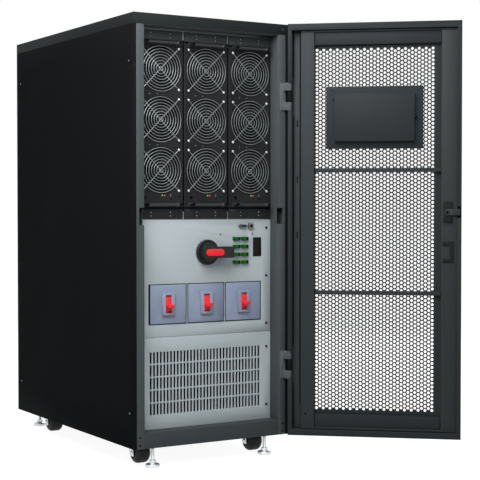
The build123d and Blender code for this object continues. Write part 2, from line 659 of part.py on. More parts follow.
def door_hinge(middle):
    """The door half of a hinge: a bored knuckle on a leaf that stands on the door's skin."""
    height = HINGE_HEIGHT - 2 * HINGE_EAR - 2 * KNUCKLE_GAP
    leaf_right = DOOR_HALF - SHEET - PANEL_GAP
    leaf_x = (leaf_right - LEAF_WIDTH, leaf_right)
    leaf = block(leaf_x, (DOOR_SKIN, PIVOT_Y + PIN_RADIUS), about(middle, height))
    knuckle = Pos(PIVOT_X, PIVOT_Y, middle) * Cylinder(KNUCKLE_RADIUS, height)
    bore = Pos(PIVOT_X, PIVOT_Y, middle) * Cylinder(PIN_RADIUS + PIN_CLEARANCE, height + 2 * OVERCUT)
    return leaf + knuckle - bore


def door_shell():
    """The door's tray: skin with its window, walls and rim, open at the hinges and beside the lock."""
    shell = block((-DOOR_HALF, DOOR_HALF), (DOOR_FRONT, DOOR_BACK), (DOOR_LOW, DOOR_TOP))
    inner = DOOR_HALF - SHEET
    shell -= block((-inner, inner), (DOOR_SKIN, DOOR_BACK - SHEET), (DOOR_LOW + SHEET, DOOR_TOP - SHEET))
    mouth = DOOR_HALF - RIM_SIDE
    through_rim = (DOOR_BACK - SHEET - OVERCUT, DOOR_BACK + OVERCUT)
    through_skin = (DOOR_FRONT - OVERCUT, DOOR_SKIN + OVERCUT)
    shell -= block((-mouth, mouth), through_rim, (DOOR_LOW + RIM_TOP, DOOR_TOP - RIM_TOP))
    shell -= block((WINDOW_LEFT, WINDOW_RIGHT), through_skin, (WINDOW_LOW, WINDOW_TOP))
    for middle in HINGE_CENTRES:
        reach = KNUCKLE_RADIUS + HINGE_CLEARANCE
        notch_x = (mouth - OVERCUT, DOOR_HALF + OVERCUT)
        notch_y = (PIVOT_Y - reach, DOOR_BACK + OVERCUT)
        shell -= block(notch_x, notch_y, about(middle, HINGE_HEIGHT + 2 * HINGE_CLEARANCE))
    cam_notch = (-inner, -mouth + OVERCUT)
    return shell - block(cam_notch, through_rim, about(LOCK_Z, RIM_NOTCH_HEIGHT))


def mesh_openings(low, high, rows):
    """A plain grid of openings that fills the door's window between two heights."""
    column_pitch = (WINDOW_RIGHT - WINDOW_LEFT - MESH_BAR) / MESH_COLUMNS
    row_pitch = (high - low - MESH_BAR) / rows
    places = GridLocations(column_pitch, row_pitch, MESH_COLUMNS, rows)
    middle = Pos((WINDOW_LEFT + WINDOW_RIGHT) / 2, (low + high) / 2 - DISPLAY_Z)
    return middle * places * Rectangle(column_pitch - MESH_BAR, row_pitch - MESH_BAR)


def door_mesh():
    """The mesh sheet behind the window, open in a coarse grid and where the display unit passes through."""
    sheet_x = (WINDOW_LEFT - MESH_LAP, WINDOW_RIGHT + MESH_LAP)
    sheet_z = (WINDOW_LOW - MESH_LAP, WINDOW_TOP + MESH_LAP)
    sheet = block(sheet_x, (DOOR_SKIN, MESH_BACK), sheet_z)
    openings = Rectangle(DISPLAY_COVER_WIDTH + 2 * PANEL_GAP, DISPLAY_COVER_HEIGHT + 2 * PANEL_GAP)
    display_low, display_top = about(DISPLAY_Z, DISPLAY_HEIGHT)
    openings += mesh_openings(WINDOW_LOW, display_low, MESH_LOWER_ROWS)
    openings += mesh_openings(display_top, WINDOW_TOP, MESH_UPPER_ROWS)
    return sheet - facing(openings, 0, DOOR_SKIN - OVERCUT, DISPLAY_Z, MESH_SHEET + 2 * OVERCUT)


def channel(x_range, z_range, depth, foot, upright):
    """A folded channel with its open side on the door's skin."""
    face = foot + depth
    solid = block(x_range, (foot, face), z_range)
    if upright:
        return solid - block((x_range[0] + SHEET, x_range[1] - SHEET), (foot - OVERCUT, face - SHEET),
                             (z_range[0] - OVERCUT, z_range[1] + OVERCUT))
    return solid - block((x_range[0] - OVERCUT, x_range[1] + OVERCUT), (foot - OVERCUT, face - SHEET),
                         (z_range[0] + SHEET, z_range[1] - SHEET))


def door_stiles():
    """The upright channels beside the mesh, on the hinge side and on the latch side."""
    height = (DOOR_LOW + STILE_END_GAP, DOOR_TOP - STILE_END_GAP)
    depth = STILE_FACE - MESH_BACK
    hinge_side = channel((WINDOW_RIGHT, WINDOW_RIGHT + HINGE_STILE_WIDTH), height, depth, MESH_BACK, True)
    latch_side = channel((LATCH_STILE_LEFT, LATCH_STILE_RIGHT), height, depth, MESH_BACK, True)
    return hinge_side, latch_side


def door_rails():
    """The level channels above and below the mesh."""
    across = (LATCH_STILE_RIGHT + PANEL_GAP, WINDOW_RIGHT - PANEL_GAP)
    low = DOOR_LOW + STILE_END_GAP
    high = DOOR_TOP - STILE_END_GAP
    foot_rail = channel(across, (low, low + RAIL_HEIGHT), RAIL_DEPTH, DOOR_SKIN, False)
    top_rail = channel(across, (high - RAIL_HEIGHT, high), RAIL_DEPTH, DOOR_SKIN, False)
    return foot_rail, top_rail


def door_crossbars():
    """The two flat bars that stiffen the mesh."""
    across = (LATCH_STILE_RIGHT + PANEL_GAP, WINDOW_RIGHT - PANEL_GAP)
    depth = (MESH_BACK, MESH_BACK + CROSSBAR_DEPTH)
    upper = DISPLAY_Z - DISPLAY_HEIGHT / 2 - CROSSBAR_BELOW_DISPLAY - CROSSBAR_HEIGHT / 2
    middles = (upper - CROSSBAR_SPACING, upper)
    return [block(across, depth, about(middle, CROSSBAR_HEIGHT)) for middle in middles]


def display_box():
    """The display unit's rear flange and its raised cover."""
    flange_y = (MESH_BACK, MESH_BACK + DISPLAY_FLANGE)
    flange = block(about(0, DISPLAY_WIDTH), flange_y, about(DISPLAY_Z, DISPLAY_HEIGHT))
    cover_depth = (DOOR_SKIN, MESH_BACK + DISPLAY_FLANGE + DISPLAY_COVER_DEPTH)
    cover = block(about(0, DISPLAY_COVER_WIDTH), cover_depth, about(DISPLAY_Z, DISPLAY_COVER_HEIGHT))
    return flange + cover


def display_bezel():
    """The frame round the screen on the outer face of the door."""
    width = DISPLAY_COVER_WIDTH + 2 * BEZEL_SIDE_LAP
    height = DISPLAY_COVER_HEIGHT + 2 * BEZEL_END_LAP
    frame = Rectangle(width, height)
    bezel = facing(frame, 0, DOOR_SKIN - BEZEL_DEPTH, DISPLAY_Z, BEZEL_DEPTH)
    window = Rectangle(SCREEN_WIDTH + 2 * RUNNING_GAP, SCREEN_HEIGHT + 2 * RUNNING_GAP)
    front = DOOR_SKIN - BEZEL_DEPTH - OVERCUT
    return bezel - facing(window, 0, front, DISPLAY_Z, BEZEL_DEPTH + 2 * OVERCUT)


def display_screen():
    """The screen, a little behind the face of its bezel."""
    screen = Rectangle(SCREEN_WIDTH, SCREEN_HEIGHT)
    return facing(screen, 0, DOOR_SKIN - BEZEL_DEPTH + SCREEN_SINK, DISPLAY_Z, BEZEL_DEPTH - SCREEN_SINK)


def lock_case():
    """The lock's housing on the latch stile."""
    return block(about(LOCK_X, LOCK_WIDTH), (STILE_FACE, LOCK_FACE), about(LOCK_Z, LOCK_HEIGHT))


def lock_cam():
    """The turning tongue of the lock, pointing to the free edge of the door."""
    near = CAM_FACE - CAM_THICKNESS
    tip = -DOOR_HALF + SHEET + CAM_END_GAP
    tongue = block((tip, LOCK_X), (near, CAM_FACE), about(LOCK_Z, CAM_WIDTH))
    return tongue + facing(Circle(CAM_RADIUS), LOCK_X, near, LOCK_Z, CAM_THICKNESS)


def latch_clip():
    """The folded clip on the latch stile below the lock."""
    outer = about(LOCK_X, CLIP_WIDTH)
    clip_top = LOCK_Z - LOCK_HEIGHT / 2 - CLIP_BELOW_LOCK
    clip_z = (clip_top - CLIP_HEIGHT, clip_top)
    clip = block(outer, (STILE_FACE, LOCK_FACE), clip_z)
    inner_x = (outer[0] + CLIP_ARM, outer[1] + OVERCUT)
    inner_z = (clip_z[0] + CLIP_ARM, clip_z[1] - CLIP_ARM)
    return clip - block(inner_x, (STILE_FACE - OVERCUT, DOOR_BACK), inner_z)


def door_pull():
    """The pull on the outer face of the door."""
    pull_y = (DOOR_FRONT - PULL_DEPTH, DOOR_FRONT)
    pull = block(about(LOCK_X, PULL_WIDTH), pull_y, about(LOCK_Z, PULL_HEIGHT))
    return chamfer(pull.faces().sort_by(Axis.Y)[0].edges(), PULL_DEPTH / 3)


def opened(shape):
    """A door piece drawn closed, swung about the hinge pins to where the door stands."""
    swing = Pos(PIVOT_X, PIVOT_Y, 0) * Rot(0, 0, DOOR_OPEN_ANGLE) * Pos(-PIVOT_X, -PIVOT_Y, 0)
    return swing * shape


def levelling_foot(x, y):
    """A disc foot on a stud, with the nut that turns it."""
    foot = Pos(0, 0, FOOT_HEIGHT / 2) * Cylinder(FOOT_RADIUS, FOOT_HEIGHT)
    foot += Pos(0, 0, BASE_LOW / 2) * Cylinder(STUD_RADIUS, BASE_LOW)
    foot += extrude(Pos(0, 0, FOOT_HEIGHT) * RegularPolygon(NUT_RADIUS, NUT_SIDES), NUT_HEIGHT)
    return Pos(x, y, 0) * foot


def caster_plate(x, y):
    """A caster's top plate with the pin that its fork turns on."""
    plate_low = BASE_LOW - CASTER_PLATE
    plate = block(about(0, CASTER_PLATE_SIZE), about(0, CASTER_PLATE_SIZE), (plate_low, BASE_LOW))
    pin_low = CROWN_LOW - KINGPIN_END
    plate += Pos(0, 0, (pin_low + plate_low) / 2) * Cylinder(KINGPIN_RADIUS, plate_low - pin_low)
    return Pos(x, y, 0) * plate


def caster_fork(x, y):
    """A caster's crown, its two cheeks and the axle."""
    crown = extrude(Pos(0, 0, CROWN_LOW) * RegularPolygon(CROWN_RADIUS, CROWN_SIDES), CROWN_HEIGHT)
    half = CROWN_RADIUS * cos(radians(60))
    corners = [
        (-half - CASTER_TRAIL / 2, CROWN_LOW),
        (half, CROWN_LOW),
        (FORK_CHEEK_FOOT - CASTER_TRAIL, AXLE_Z - FORK_CHEEK_FOOT),
        (-FORK_CHEEK_FOOT - CASTER_TRAIL, AXLE_Z - FORK_CHEEK_FOOT),
    ]
    outline = Plane.YZ * make_face(Polyline(*corners, close=True))
    fork = crown + block((-CHEEK_X - FORK_CHEEK, CHEEK_X + FORK_CHEEK), (corners[0][0], half),
                         (CROWN_LOW, CROWN_LOW + FORK_CHEEK))
    for start in (CHEEK_X, -CHEEK_X - FORK_CHEEK):
        fork += Pos(start, 0, 0) * extrude(outline, FORK_CHEEK)
    fork += Pos(0, -CASTER_TRAIL, AXLE_Z) * Cylinder(AXLE_RADIUS, 2 * CHEEK_X, rotation=(0, 90, 0))
    bore = Cylinder(KINGPIN_RADIUS + PIN_CLEARANCE, CROWN_HEIGHT + 2 * OVERCUT)
    return Pos(x, y, 0) * (fork - Pos(0, 0, CROWN_LOW + CROWN_HEIGHT / 2) * bore)


def caster_wheel(x, y):
    """A wide wheel on its bore."""
    wheel = Cylinder(WHEEL_RADIUS, WHEEL_WIDTH)
    wheel -= Cylinder(AXLE_RADIUS + PIN_CLEARANCE, WHEEL_WIDTH + 2 * OVERCUT)
    return Pos(x, y - CASTER_TRAIL, AXLE_Z) * Rot(0, 90, 0) * wheel


def corners_of(inset, from_end):
    """The four corner places under the base, front left first and rear right last."""
    x = INNER_HALF - inset
    return {
        "front_left": (-x, FRONT + from_end),
        "front_right": (x, FRONT + from_end),
        "rear_left": (-x, BACK - from_end),
        "rear_right": (x, BACK - from_end),
    }


def build_body():
    """The housing, its panels and what is fixed to them."""
    save("base_frame", base_frame())
    save("front_sill", front_sill())
    save("front_posts", *both_sides(front_post()))
    save("rear_posts", *both_sides(rear_post()))
    save("side_panels", *both_sides(side_panel()))
    save("top_cover", top_cover())
    save("shelf_rails", *both_sides(shelf_rail()))
    save("module_shelf", module_shelf())
    save("module_rails", *module_rails())
    save("panel_strips", *both_sides(panel_strip()))
    save("rear_panel", rear_panel())
    save("switch_panel", switch_panel())
    save("vent_panel", vent_panel())
    save("cabinet_hinges", *[cabinet_hinge(middle) for middle in HINGE_CENTRES])


def build_switches():
    """The breakers, the bypass switch and the connectors."""
    save("breaker_bodies", *[breaker_body(x, z) for x, z in breaker_places()])
    save("breaker_frames", *[breaker_frame(x, z) for x, z in breaker_places()])
    for index, (x, z) in enumerate(breaker_places(), 1):
        save(f"breaker_toggle_{index}", toggle(x, z))
    save("rotary_base", rotary_base())
    save("rotary_handle", rotary_handle())
    save("rotary_grip", rotary_grip())
    blocks = [inset(x, z, TERMINAL_WIDTH, TERMINAL_HEIGHT, TERMINAL_PROUD, TERMINAL_DEPTH)
              for x, z in terminal_places()]
    save("terminal_blocks", *blocks)
    ports = [inset(x, z, width, height, proud, PORT_DEPTH) for x, z, width, height, proud in port_places()]
    save("control_ports", *ports)


def build_modules():
    """The slide-in power modules."""
    for index, x in enumerate(module_centres(), 1):
        save(f"module_{index}_case", module_case(x))
        save(f"module_{index}_fans", *[fan(x, z) for z in fan_heights()])
        save(f"module_{index}_guards", *[wire_guard(x, z) for z in fan_heights()])
        heights = (MODULE_LOW + HANDLE_LOW, MODULE_TOP - HANDLE_FROM_TOP)
        save(f"module_{index}_handles", *[pull_handle(x, z) for z in heights])


def build_door():
    """The door and all that swings with it."""
    save("door_shell", opened(door_shell()))
    save("door_mesh", opened(door_mesh()))
    save("door_stiles", *[opened(stile) for stile in door_stiles()])
    save("door_rails", *[opened(rail) for rail in door_rails()])
    save("door_crossbars", *[opened(bar) for bar in door_crossbars()])
    save("door_hinges", *[opened(door_hinge(middle)) for middle in HINGE_CENTRES])
    save("display_box", opened(display_box()))
    save("display_bezel", opened(display_bezel()))
    save("display_screen", opened(display_screen()))
    save("lock_case", opened(lock_case()))
    save("lock_cam", opened(lock_cam()))
    save("latch_clip", opened(latch_clip()))
    save("door_pull", opened(door_pull()))


def build_underside():
    """The levelling feet and the casters."""
    feet = corners_of(FOOT_INSET, FOOT_FROM_END)
    save("levelling_feet", *[levelling_foot(x, y) for x, y in feet.values()])
    casters = corners_of(CASTER_INSET, CASTER_FROM_END)
    save("caster_plates", *[caster_plate(x, y) for x, y in casters.values()])
    for corner, (x, y) in casters.items():
        save(f"caster_fork_{corner}", caster_fork(x, y))
        save(f"caster_wheel_{corner}", caster_wheel(x, y))


def main():
    os.makedirs("parts", exist_ok=True)
    build_body()
    build_switches()
    build_modules()
    build_door()
    build_underside()


main()
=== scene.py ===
import json
from math import cos, pi, radians, sin, sqrt

import bmesh
import bpy
from mathutils import Matrix, Vector


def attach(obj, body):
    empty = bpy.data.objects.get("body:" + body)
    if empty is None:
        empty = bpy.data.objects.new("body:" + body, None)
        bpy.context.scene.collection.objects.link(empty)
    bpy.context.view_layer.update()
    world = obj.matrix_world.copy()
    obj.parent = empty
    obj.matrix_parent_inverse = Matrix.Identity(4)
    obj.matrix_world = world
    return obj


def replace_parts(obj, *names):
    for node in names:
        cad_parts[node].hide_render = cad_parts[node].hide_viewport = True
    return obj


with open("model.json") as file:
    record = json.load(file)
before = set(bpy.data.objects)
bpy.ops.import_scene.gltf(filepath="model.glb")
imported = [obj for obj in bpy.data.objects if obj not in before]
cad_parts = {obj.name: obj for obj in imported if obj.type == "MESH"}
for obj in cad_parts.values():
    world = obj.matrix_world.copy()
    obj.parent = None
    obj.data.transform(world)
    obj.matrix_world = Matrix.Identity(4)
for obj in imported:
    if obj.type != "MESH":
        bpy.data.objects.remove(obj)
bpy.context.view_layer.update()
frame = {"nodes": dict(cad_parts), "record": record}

MM = 0.001
RECORD = frame["record"]
BODY_OF = {node: body for body, nodes in RECORD["behaviour"]["bodies"].items() for node in nodes}
SLOT_OF = {part["node"]: part["material_slot"] for part in RECORD["subparts"]}

# Distances within which places count as the same, in metres
NEAR = 0.00005
MERGE = 0.000001
CAD_MERGE = 0.00001
SHEET_MERGE = 0.00002

# A face counts as facing along an axis when its normal has more than this along it
FACING = 0.9
FACING_SQUARELY = 0.99


# Sizes in millimetres: the body
FRONT = -390.0
REAR_FACE = 388.0
BODY_HALF = 230.0
PANEL_FRONT = -350.0
HEADER_STRIP = ((-199.5, -346.0, 1117.8), (199.5, -343.5, 1144.6))
HEADER_LIP = 0.2
HEADER_FOLD = 12.0
# The strip under the lid's skirt, painted lighter than the lid as painted light on that shaded underside.
SOFFIT = ((-199.0, -388.5, 1118.0), (199.0, -349.0, 1118.9))
SOFFIT_EDGE = 0.3
PANEL_SCREW_X = 186.5
PANEL_SCREW_HEIGHTS = (606.0, 478.0, 350.0, 287.0, 131.0)
PANEL_HOLES_X = (44.0, 143.0)
PANEL_HOLE_HEIGHT = 590.0
POST_X = 213.0
POST_HOLE_HEIGHTS = (62.0, 81.5)
HEADER_SCREW_HEIGHT = 1133.0
SIDE_SCREW_Y = 362.0
SIDE_SCREW_HEIGHTS = (141.0, 1028.0)
SIDE_SCREW_SINK = 2.2
DIMPLE_RADIUS = 4.2
REAR_SCREW_X = 209.0
REAR_SCREW_HEIGHTS = (112.0, 440.0, 770.0, 1099.0)

# The power modules, each from its own middle
MODULES = {1: -133.5, 2: 0.0, 3: 133.5}
PLATE_FRONT = -350.3
FAN_HEIGHTS = (755.6, 884.9, 1014.2)
POCKET_DEPTH = 30.0
HUB_RADIUS = 20.0
HUB_HEIGHT = 24.0
HUB_EDGE = 4.0
FAN_BLADES = 7
BLADE_TIP = 53.0
BLADE_ROOT = 3.0
BLADE_CHORD = 24.0
BLADE_FLARE = 0.45
BLADE_BOW = 3.0
BLADE_RAKE = 0.62
BLADE_THICK = 1.4
BLADE_PITCH = 58.0
BLADE_TWIST = 22.0
GUARD_RINGS = [57.4 - 7.4 * step for step in range(8)]
RING_WIRE = 1.7
RING_STAND = 3.2
RING_STEPS = 48
BAR_WIRE = 2.1
WIRE_SIDES = 8
SCREW_REACH = 52.5
SCREW_EYE = 3.4
PULL_HEIGHTS = (667.0, 1080.0)
PULL_RADIUS = 4.4
PULL_REACH = 38.0
PULL_LEG = 48.6
PULL_BEND = 10.0
BEND_STEPS = 6
PULL_COLLAR_RIM = 2.0
PULL_COLLAR_DEPTH = 2.5
PULL_COLLAR_EDGE = 0.8
LOWER_EAR = (630.5, 656.0)
UPPER_EAR = (1087.5, 1111.5)
EAR_HALF = 64.3
EAR_THICK = 0.9
EAR_EDGE = 0.4
# Thin black bands between each ear and its pull: painted shade where the pull shades the plate.
EAR_SHADE_BANDS = ((656.0, 661.5), (1083.5, 1087.5))
EAR_SHADE_THICK = 0.4
EAR_SHADE_EDGE = 0.15
EAR_DOT_SIDE = 28.0
EAR_DOT_RISE = 4.5
RIVETS_X = (-31.0, -9.0)
RIVET_HEIGHTS = (949.5, 820.0)
LENS_HEIGHT = 691.0
GREEN_LENS_X = 5.0
RED_LENS_X = 11.6
PLATE_HOLES = [(42.0, 0, 688.0), (52.0, 0, 688.0)]
LAMP_HOLE = (-44.0, 0, 686.0)
CARD_SLOT = ((-2.2, -0.5, -7.0), (2.2, 0, 5.0))
CARD_SLOT_PLACE = (30.0, 0, 688.0)
CARD_EDGE = ((-0.7, -0.9, -2.5), (0.7, 0, 6.0))
CARD_EDGE_PLACE = (29.3, 0, 689.0)
SLOT_EDGE = 0.2

# The switch panel
BREAKERS = (-113.5, 0.0, 113.5)
BREAKER_Z = 411.75
BREAKER_WIDE = 107.0
BREAKER_TALL = 100.5
BREAKER_FRONT = -351.0
# Dark rims round the breakers and a wider lip at the first one's left: painted shade along the window edges.
BREAKER_SHADE_GROWTH = 3.4
BREAKER_SHADE_WALL = 1.75
BREAKER_SHADE_DEPTH = 0.8
SHADE_LIP_WIDTH = 2.8
SHADE_LIP_RISE = 0.5
SWITCH_X = 2.0
SWITCH_Z = 543.5
SWITCH_BASE_FRONT = -360.0
SWITCH_COLLAR_RADIUS = 30.5
SWITCH_COLLAR_RISE = 0.9
SWITCH_COLLAR_WIDTH = 3.4
SWITCH_COLLAR_EDGE = 0.35
TERMINAL_COLUMNS = (91.65, 116.85)
TERMINAL_ROWS = (515.45, 536.15, 556.85, 577.55)
TERMINAL_FRONT = -357.0
TERMINAL_ENTRY = ((4.6, -0.6, -4.3), (9.6, 0, 4.3))
TERMINAL_ENTRY_STEPS = ((0.7, 0.0), (0.2, -0.45))
TERMINAL_CAP = ((-9.7, -0.3, -4.3), (-8.6, 0, 4.3))
TERMINAL_CAP_STEP = (0.2, 0.2)
PORT_FRONT = -354.0
PORT_Z = 611.0
LONG_PORT_X = 112.7
LONG_PORT_WIDTH = 19.8
LONG_PORT_HEIGHT = 8.7
LONG_PORT_WALL = 1.5
LONG_PORT_DEPTH = 1.4
LONG_PORT_ROUND = 3.0
SQUARE_PORT_X = 137.0
SQUARE_PORT_SIDE = 14.2
SQUARE_PORT_WALL = 2.6
SQUARE_PORT_DEPTH = 1.2
PORT_POSTS_X = (99.4, 126.0)
PORT_POST_RADIUS = 2.3
PORT_POST_DEPTH = 4.0
PORT_POST_STEPS = ((0.7, 0.3), (0.3, -1.5))

# The underside
CORNERS = {"front_left": (-1, -1), "front_right": (1, -1), "rear_left": (-1, 1), "rear_right": (1, 1)}
LAST_CORNER = "rear_right"
FOOT_PLACE = (168.0, 370.0)
PAD_RADIUS = 18.5
PAD_HEIGHT = 9.5
PAD_TOP_EDGE = 3.0
PAD_FOOT_EDGE = 2.0
PAD_STEPS = ((3.5, 1.0), (2.5, 1.5))
NUT_RADIUS = 9.0
NUT_HEIGHTS = ((11.0, 18.0), (79.0, 86.0))
NUT_STEP = (1.2, 0.4)
STUD_RADIUS = 4.8
STUD_FOOT = 9.0
THREAD_TURNS = 25
THREAD_RISE = 1.6
THREAD_WAIST = 0.87
CASTER_PLACE = (170.0, 280.0)
CASTER_TRAIL = 24.0
AXLE_HEIGHT = 29.0
CHEEK_OUTER = 24.5
WHEEL_RADIUS = 28.0
WHEEL_WIDTH = 40.0
WHEEL_SHOULDER = 12.0
WHEEL_SIDE_STEPS = ((2.0, 0.0), (1.0, -2.5), (6.0, 0.0), (1.0, 2.5), (4.6, 0.0))

# The door, as it stands shut
DOOR_PIVOT = Vector((0.2245, -0.405, 0.0))
DOOR_OPEN = 139.4
SKIN_INSIDE = -423.0
RIM_INSIDE = 217.0
RIM_LOW = 70.0
RIM_HIGH = 1129.0
# A black seal strip along the hinge side, in runs between the hinges: a seal, and painted shade for the dark
# gap there.
SEAL_SHADE_WIDTH = 3.0
SEAL_SHADE_DEPTH = 2.5
SEAL_SHADE_EDGE = 0.8
SEAL_SHADE_RUNS = ((70.0, 191.0), (290.0, 905.0), (1005.0, 1129.0))
# A black strip at the hinge stile's outer edge: painted shade for the dark line along it.
STILE_SHADE_LINE = (194.2, 197.0)
STILE_SHADE_INSIDE = -404.2
STILE_SHADE_RUN = (137.0, 1124.0)
LATCH_FOLD = (-217.0, -214.6)
FOLD_INSIDE = -403.4
CROSS_FOLD_INSIDE = FOLD_INSIDE - 1.0
FOOT_FOLD_TOP = 75.4
TOP_FOLD_FOOT = 1123.6
FOLD_EDGE = 0.4
# The strip of the door's skin that carries the slots, in the lighter sill paint: painted light on a flat that
# lies in the rim's shade.
SLOT_STRIP = (197.6, 213.8)
SLOT_STRIP_INSIDE = SKIN_INSIDE + 0.6
DOOR_SLOT = ((-1.4, -0.5, -9.0), (1.4, 0, 9.0))
DOOR_SLOT_X = 205.0
DOOR_SLOT_HEIGHTS = (884.0, 735.0, 586.0)
WINDOW_MOVES = ((123.0, -4.5), (1076.0, 8.0))
NOTCH_MOVES = ((198.0, 5.8), (283.0, -5.8), (912.5, 5.8), (997.5, -5.8))
MESH_MIDDLE = 601.1
MESH_Y = -422.5
MESH_THICK = 0.9
MESH_HALF_WIDTH = 166.0
MESH_HALF_HEIGHT = 488.5
HOLE_PITCH = 10.37
HOLE_RADIUS = 3.8
HOLE_SIDES = 12
TILE_SIDE = HOLE_PITCH / sqrt(3)
COLUMN_PITCH = HOLE_PITCH * sqrt(3)
LONG_COLUMNS = 18
HOLE_ROWS = 93
DISPLAY_Z = 898.0
DISPLAY_HALF_WIDTH = 118.0
DISPLAY_HALF_HEIGHT = 73.0
DISPLAY_OVERLAP = 4.0
COVER_SEAT = -419.0
COVER_SCREWS_X = (-114.0, 113.0)
KNOB_X = -107.5
DOOR_DOTS = [(180.4, -404.0, 110.3), (107.8, COVER_SEAT, DISPLAY_Z + 47.0)]
TONGUE_INSIDE = -397.5
LOCK_Z = 648.0
SPINDLE_X = -191.5
TONGUE_RIB = ((-0.7, -0.7, -7.6), (0.7, 0, 7.6))
TONGUE_RIB_X = -201.3
TONGUE_RIB_EDGE = 0.25

# Round heads: radius, height, sides and whether a driver socket is sunk in them
HEADS = {
    "guard_screw": (3.7, 2.8, 14, True), "ear_screw": (1.6, 1.1, 10, True),
    "plate_rivet": (1.2, 0.8, 8, False), "status_lens": (2.1, 1.4, 12, False),
    "panel_screw": (3.4, 2.2, 14, True), "header_screw": (2.6, 1.8, 14, True),
    "side_screw": (2.8, 1.9, 14, True), "rear_screw": (3.0, 1.8, 14, True),
    "axle_head": (5.5, 3.0, 6, True), "door_screw": (2.6, 1.6, 14, True),
    "cover_knob": (5.0, 15.0, 20, False), "lock_spindle": (3.6, 1.2, 20, True),
}

# A head's rings from its edge inwards: widths as shares of the radius, rises as shares of the height
HEAD_FOOT = 0.4
HEAD_RINGS = ((0.14, 0.3), (0.22, 0.22), (0.26, 0.08))
HEAD_SOCKET = (0.06, -0.4)

# Small holes: radius and sides
HOLES = {"plate_hole": (1.7, 10), "lamp_hole": (4.2, 16), "panel_hole": (2.0, 12), "post_hole": (2.6, 14)}
HOLE_RISE = 0.5
HOLE_SINK = 0.4
HOLE_LIP = 0.18
HOLE_WALL = 0.06

# The eased edges of the CAD pieces
EASED = {
    "base_frame": 0.8, "front_sill": 1.0, "front_posts": 1.0, "rear_posts": 1.0, "side_panels": 1.4,
    "top_cover": 0.9, "shelf_rails": 0.5, "module_shelf": 0.5, "module_rails": 0.4, "panel_strips": 0.4,
    "rear_panel": 0.5, "switch_panel": 0.5, "vent_panel": 0.4, "cabinet_hinges": 0.8,
    "breaker_bodies": 0.8, "breaker_frames": 0.8, "terminal_blocks": 0.5, "control_ports": 0.5,
    "door_stiles": 1.0, "door_rails": 1.0, "door_crossbars": 0.8, "door_hinges": 0.8, "display_box": 1.2,
    "display_bezel": 1.5, "display_screen": 0.6, "lock_case": 1.0, "lock_cam": 0.5, "latch_clip": 0.6,
    "door_pull": 2.5, "caster_plates": 0.5, "rotary_base": 2.5, "rotary_handle": 2.0, "rotary_grip": 1.0,
}
DOOR_SHELL_EDGE = 1.0
MODULE_CASE_EDGE = 0.6
TOGGLE_EDGE = 0.8
FORK_EDGE = 0.7

# Camera, lamps and background, in metres, degrees and watts
LENS = 97.09
SENSOR_WIDTH = 36.0
VIEW_END = 100.0
CAMERA_PLACE = (-1.6775, -3.2861, 0.6608)
CAMERA_TILT = 90 - 1.45
CAMERA_TURN = -31.25
LAMPS = {
    "key_lamp": {"place": (-0.7, -1.15, 1.7), "target": (0, -0.35, 0.6), "size": 1.2, "power": 33.0},
    "fill_lamp": {"place": (-1.2, -3.4, 1.4), "target": (0.1, -0.3, 0.6), "size": 2.0, "power": 9.0},
    "rear_lamp": {"place": (1.7, 2.3, 1.7), "target": (0, 0.2, 0.6), "size": 1.6, "power": 34.0},
}
WORLD_LIGHT = 0.25
FLOOR_SIZE = 60.0
FLOOR_GLOW = 0.93
FLOOR_TONES = ((0.40, 0.40, 0.40, 1.0), (0.43, 0.43, 0.43, 1.0))
WHITE = (1, 1, 1, 1)


# Shader sockets with arithmetic

class Flow:
    """A socket in a material's nodes. Arithmetic on it adds Math nodes."""

    def __init__(self, tree, socket=None):
        self.tree = tree
        self.socket = socket

    def node(self, kind, settings=None, inputs=None, output=0):
        """A new node: its settings first, then the values or links of its sockets."""
        node = self.tree.nodes.new(kind)
        for name, value in (settings or {}).items():
            setattr(node, name, value)
        for name, value in (inputs or {}).items():
            target = node.inputs[name]
            if isinstance(value, Flow):
                self.tree.links.new(value.socket, target)
            else:
                target.default_value = value
        return Flow(self.tree, node.outputs[output] if len(node.outputs) else None)

    def maths(self, operation, first, second):
        return self.node("ShaderNodeMath", {"operation": operation}, {0: first, 1: second})

    def __add__(self, other):
        return self.maths("ADD", self, other)

    def __radd__(self, other):
        return self.maths("ADD", other, self)

    def __mul__(self, other):
        return self.maths("MULTIPLY", self, other)

    def __rmul__(self, other):
        return self.maths("MULTIPLY", other, self)


def linear(code):
    """The linear colour of a six-digit colour code."""
    values = []
    for start in (0, 2, 4):
        share = int(code[start:start + 2], 16) / 255
        values.append(share / 12.92 if share <= 0.04045 else ((share + 0.055) / 1.055) ** 2.4)
    return (*values, 1.0)


def scaled(colour, factor):
    """The colour made lighter or darker."""
    return (*[min(value * factor, 1.0) for value in colour[:3]], 1.0)


FINISH = {}


def new_finish(name):
    """Adds an empty finish. Gives its node maker and the place on the piece, which its patterns follow."""
    material = bpy.data.materials.new(name)
    material.use_nodes = True
    material.node_tree.nodes.clear()
    FINISH[name] = material
    flow = Flow(material.node_tree)
    return flow, flow.node("ShaderNodeTexCoord", output="Object")


def noise(flow, place, scale, detail):
    """A cloudy value between 0 and 1."""
    return flow.node("ShaderNodeTexNoise", {}, {
        "Vector": place, "Scale": scale, "Detail": detail, "Roughness": 0.55}, "Fac")


def blended(flow, factor, low, high):
    """A colour between two, by the Mix node's colour sockets: 6 and 7 in, 2 out."""
    return flow.node("ShaderNodeMix", {"data_type": "RGBA"}, {0: factor, 6: low, 7: high}, 2)


def bumped(flow, height, strength, depth):
    """A fine relief, its depth in millimetres."""
    return flow.node("ShaderNodeBump", {}, {"Strength": strength, "Distance": depth * MM, "Height": height})


def surface(flow, sockets):
    """Closes a finish with one shader."""
    shader = flow.node("ShaderNodeBsdfPrincipled", {}, sockets)
    flow.node("ShaderNodeOutputMaterial", {}, {"Surface": shader})


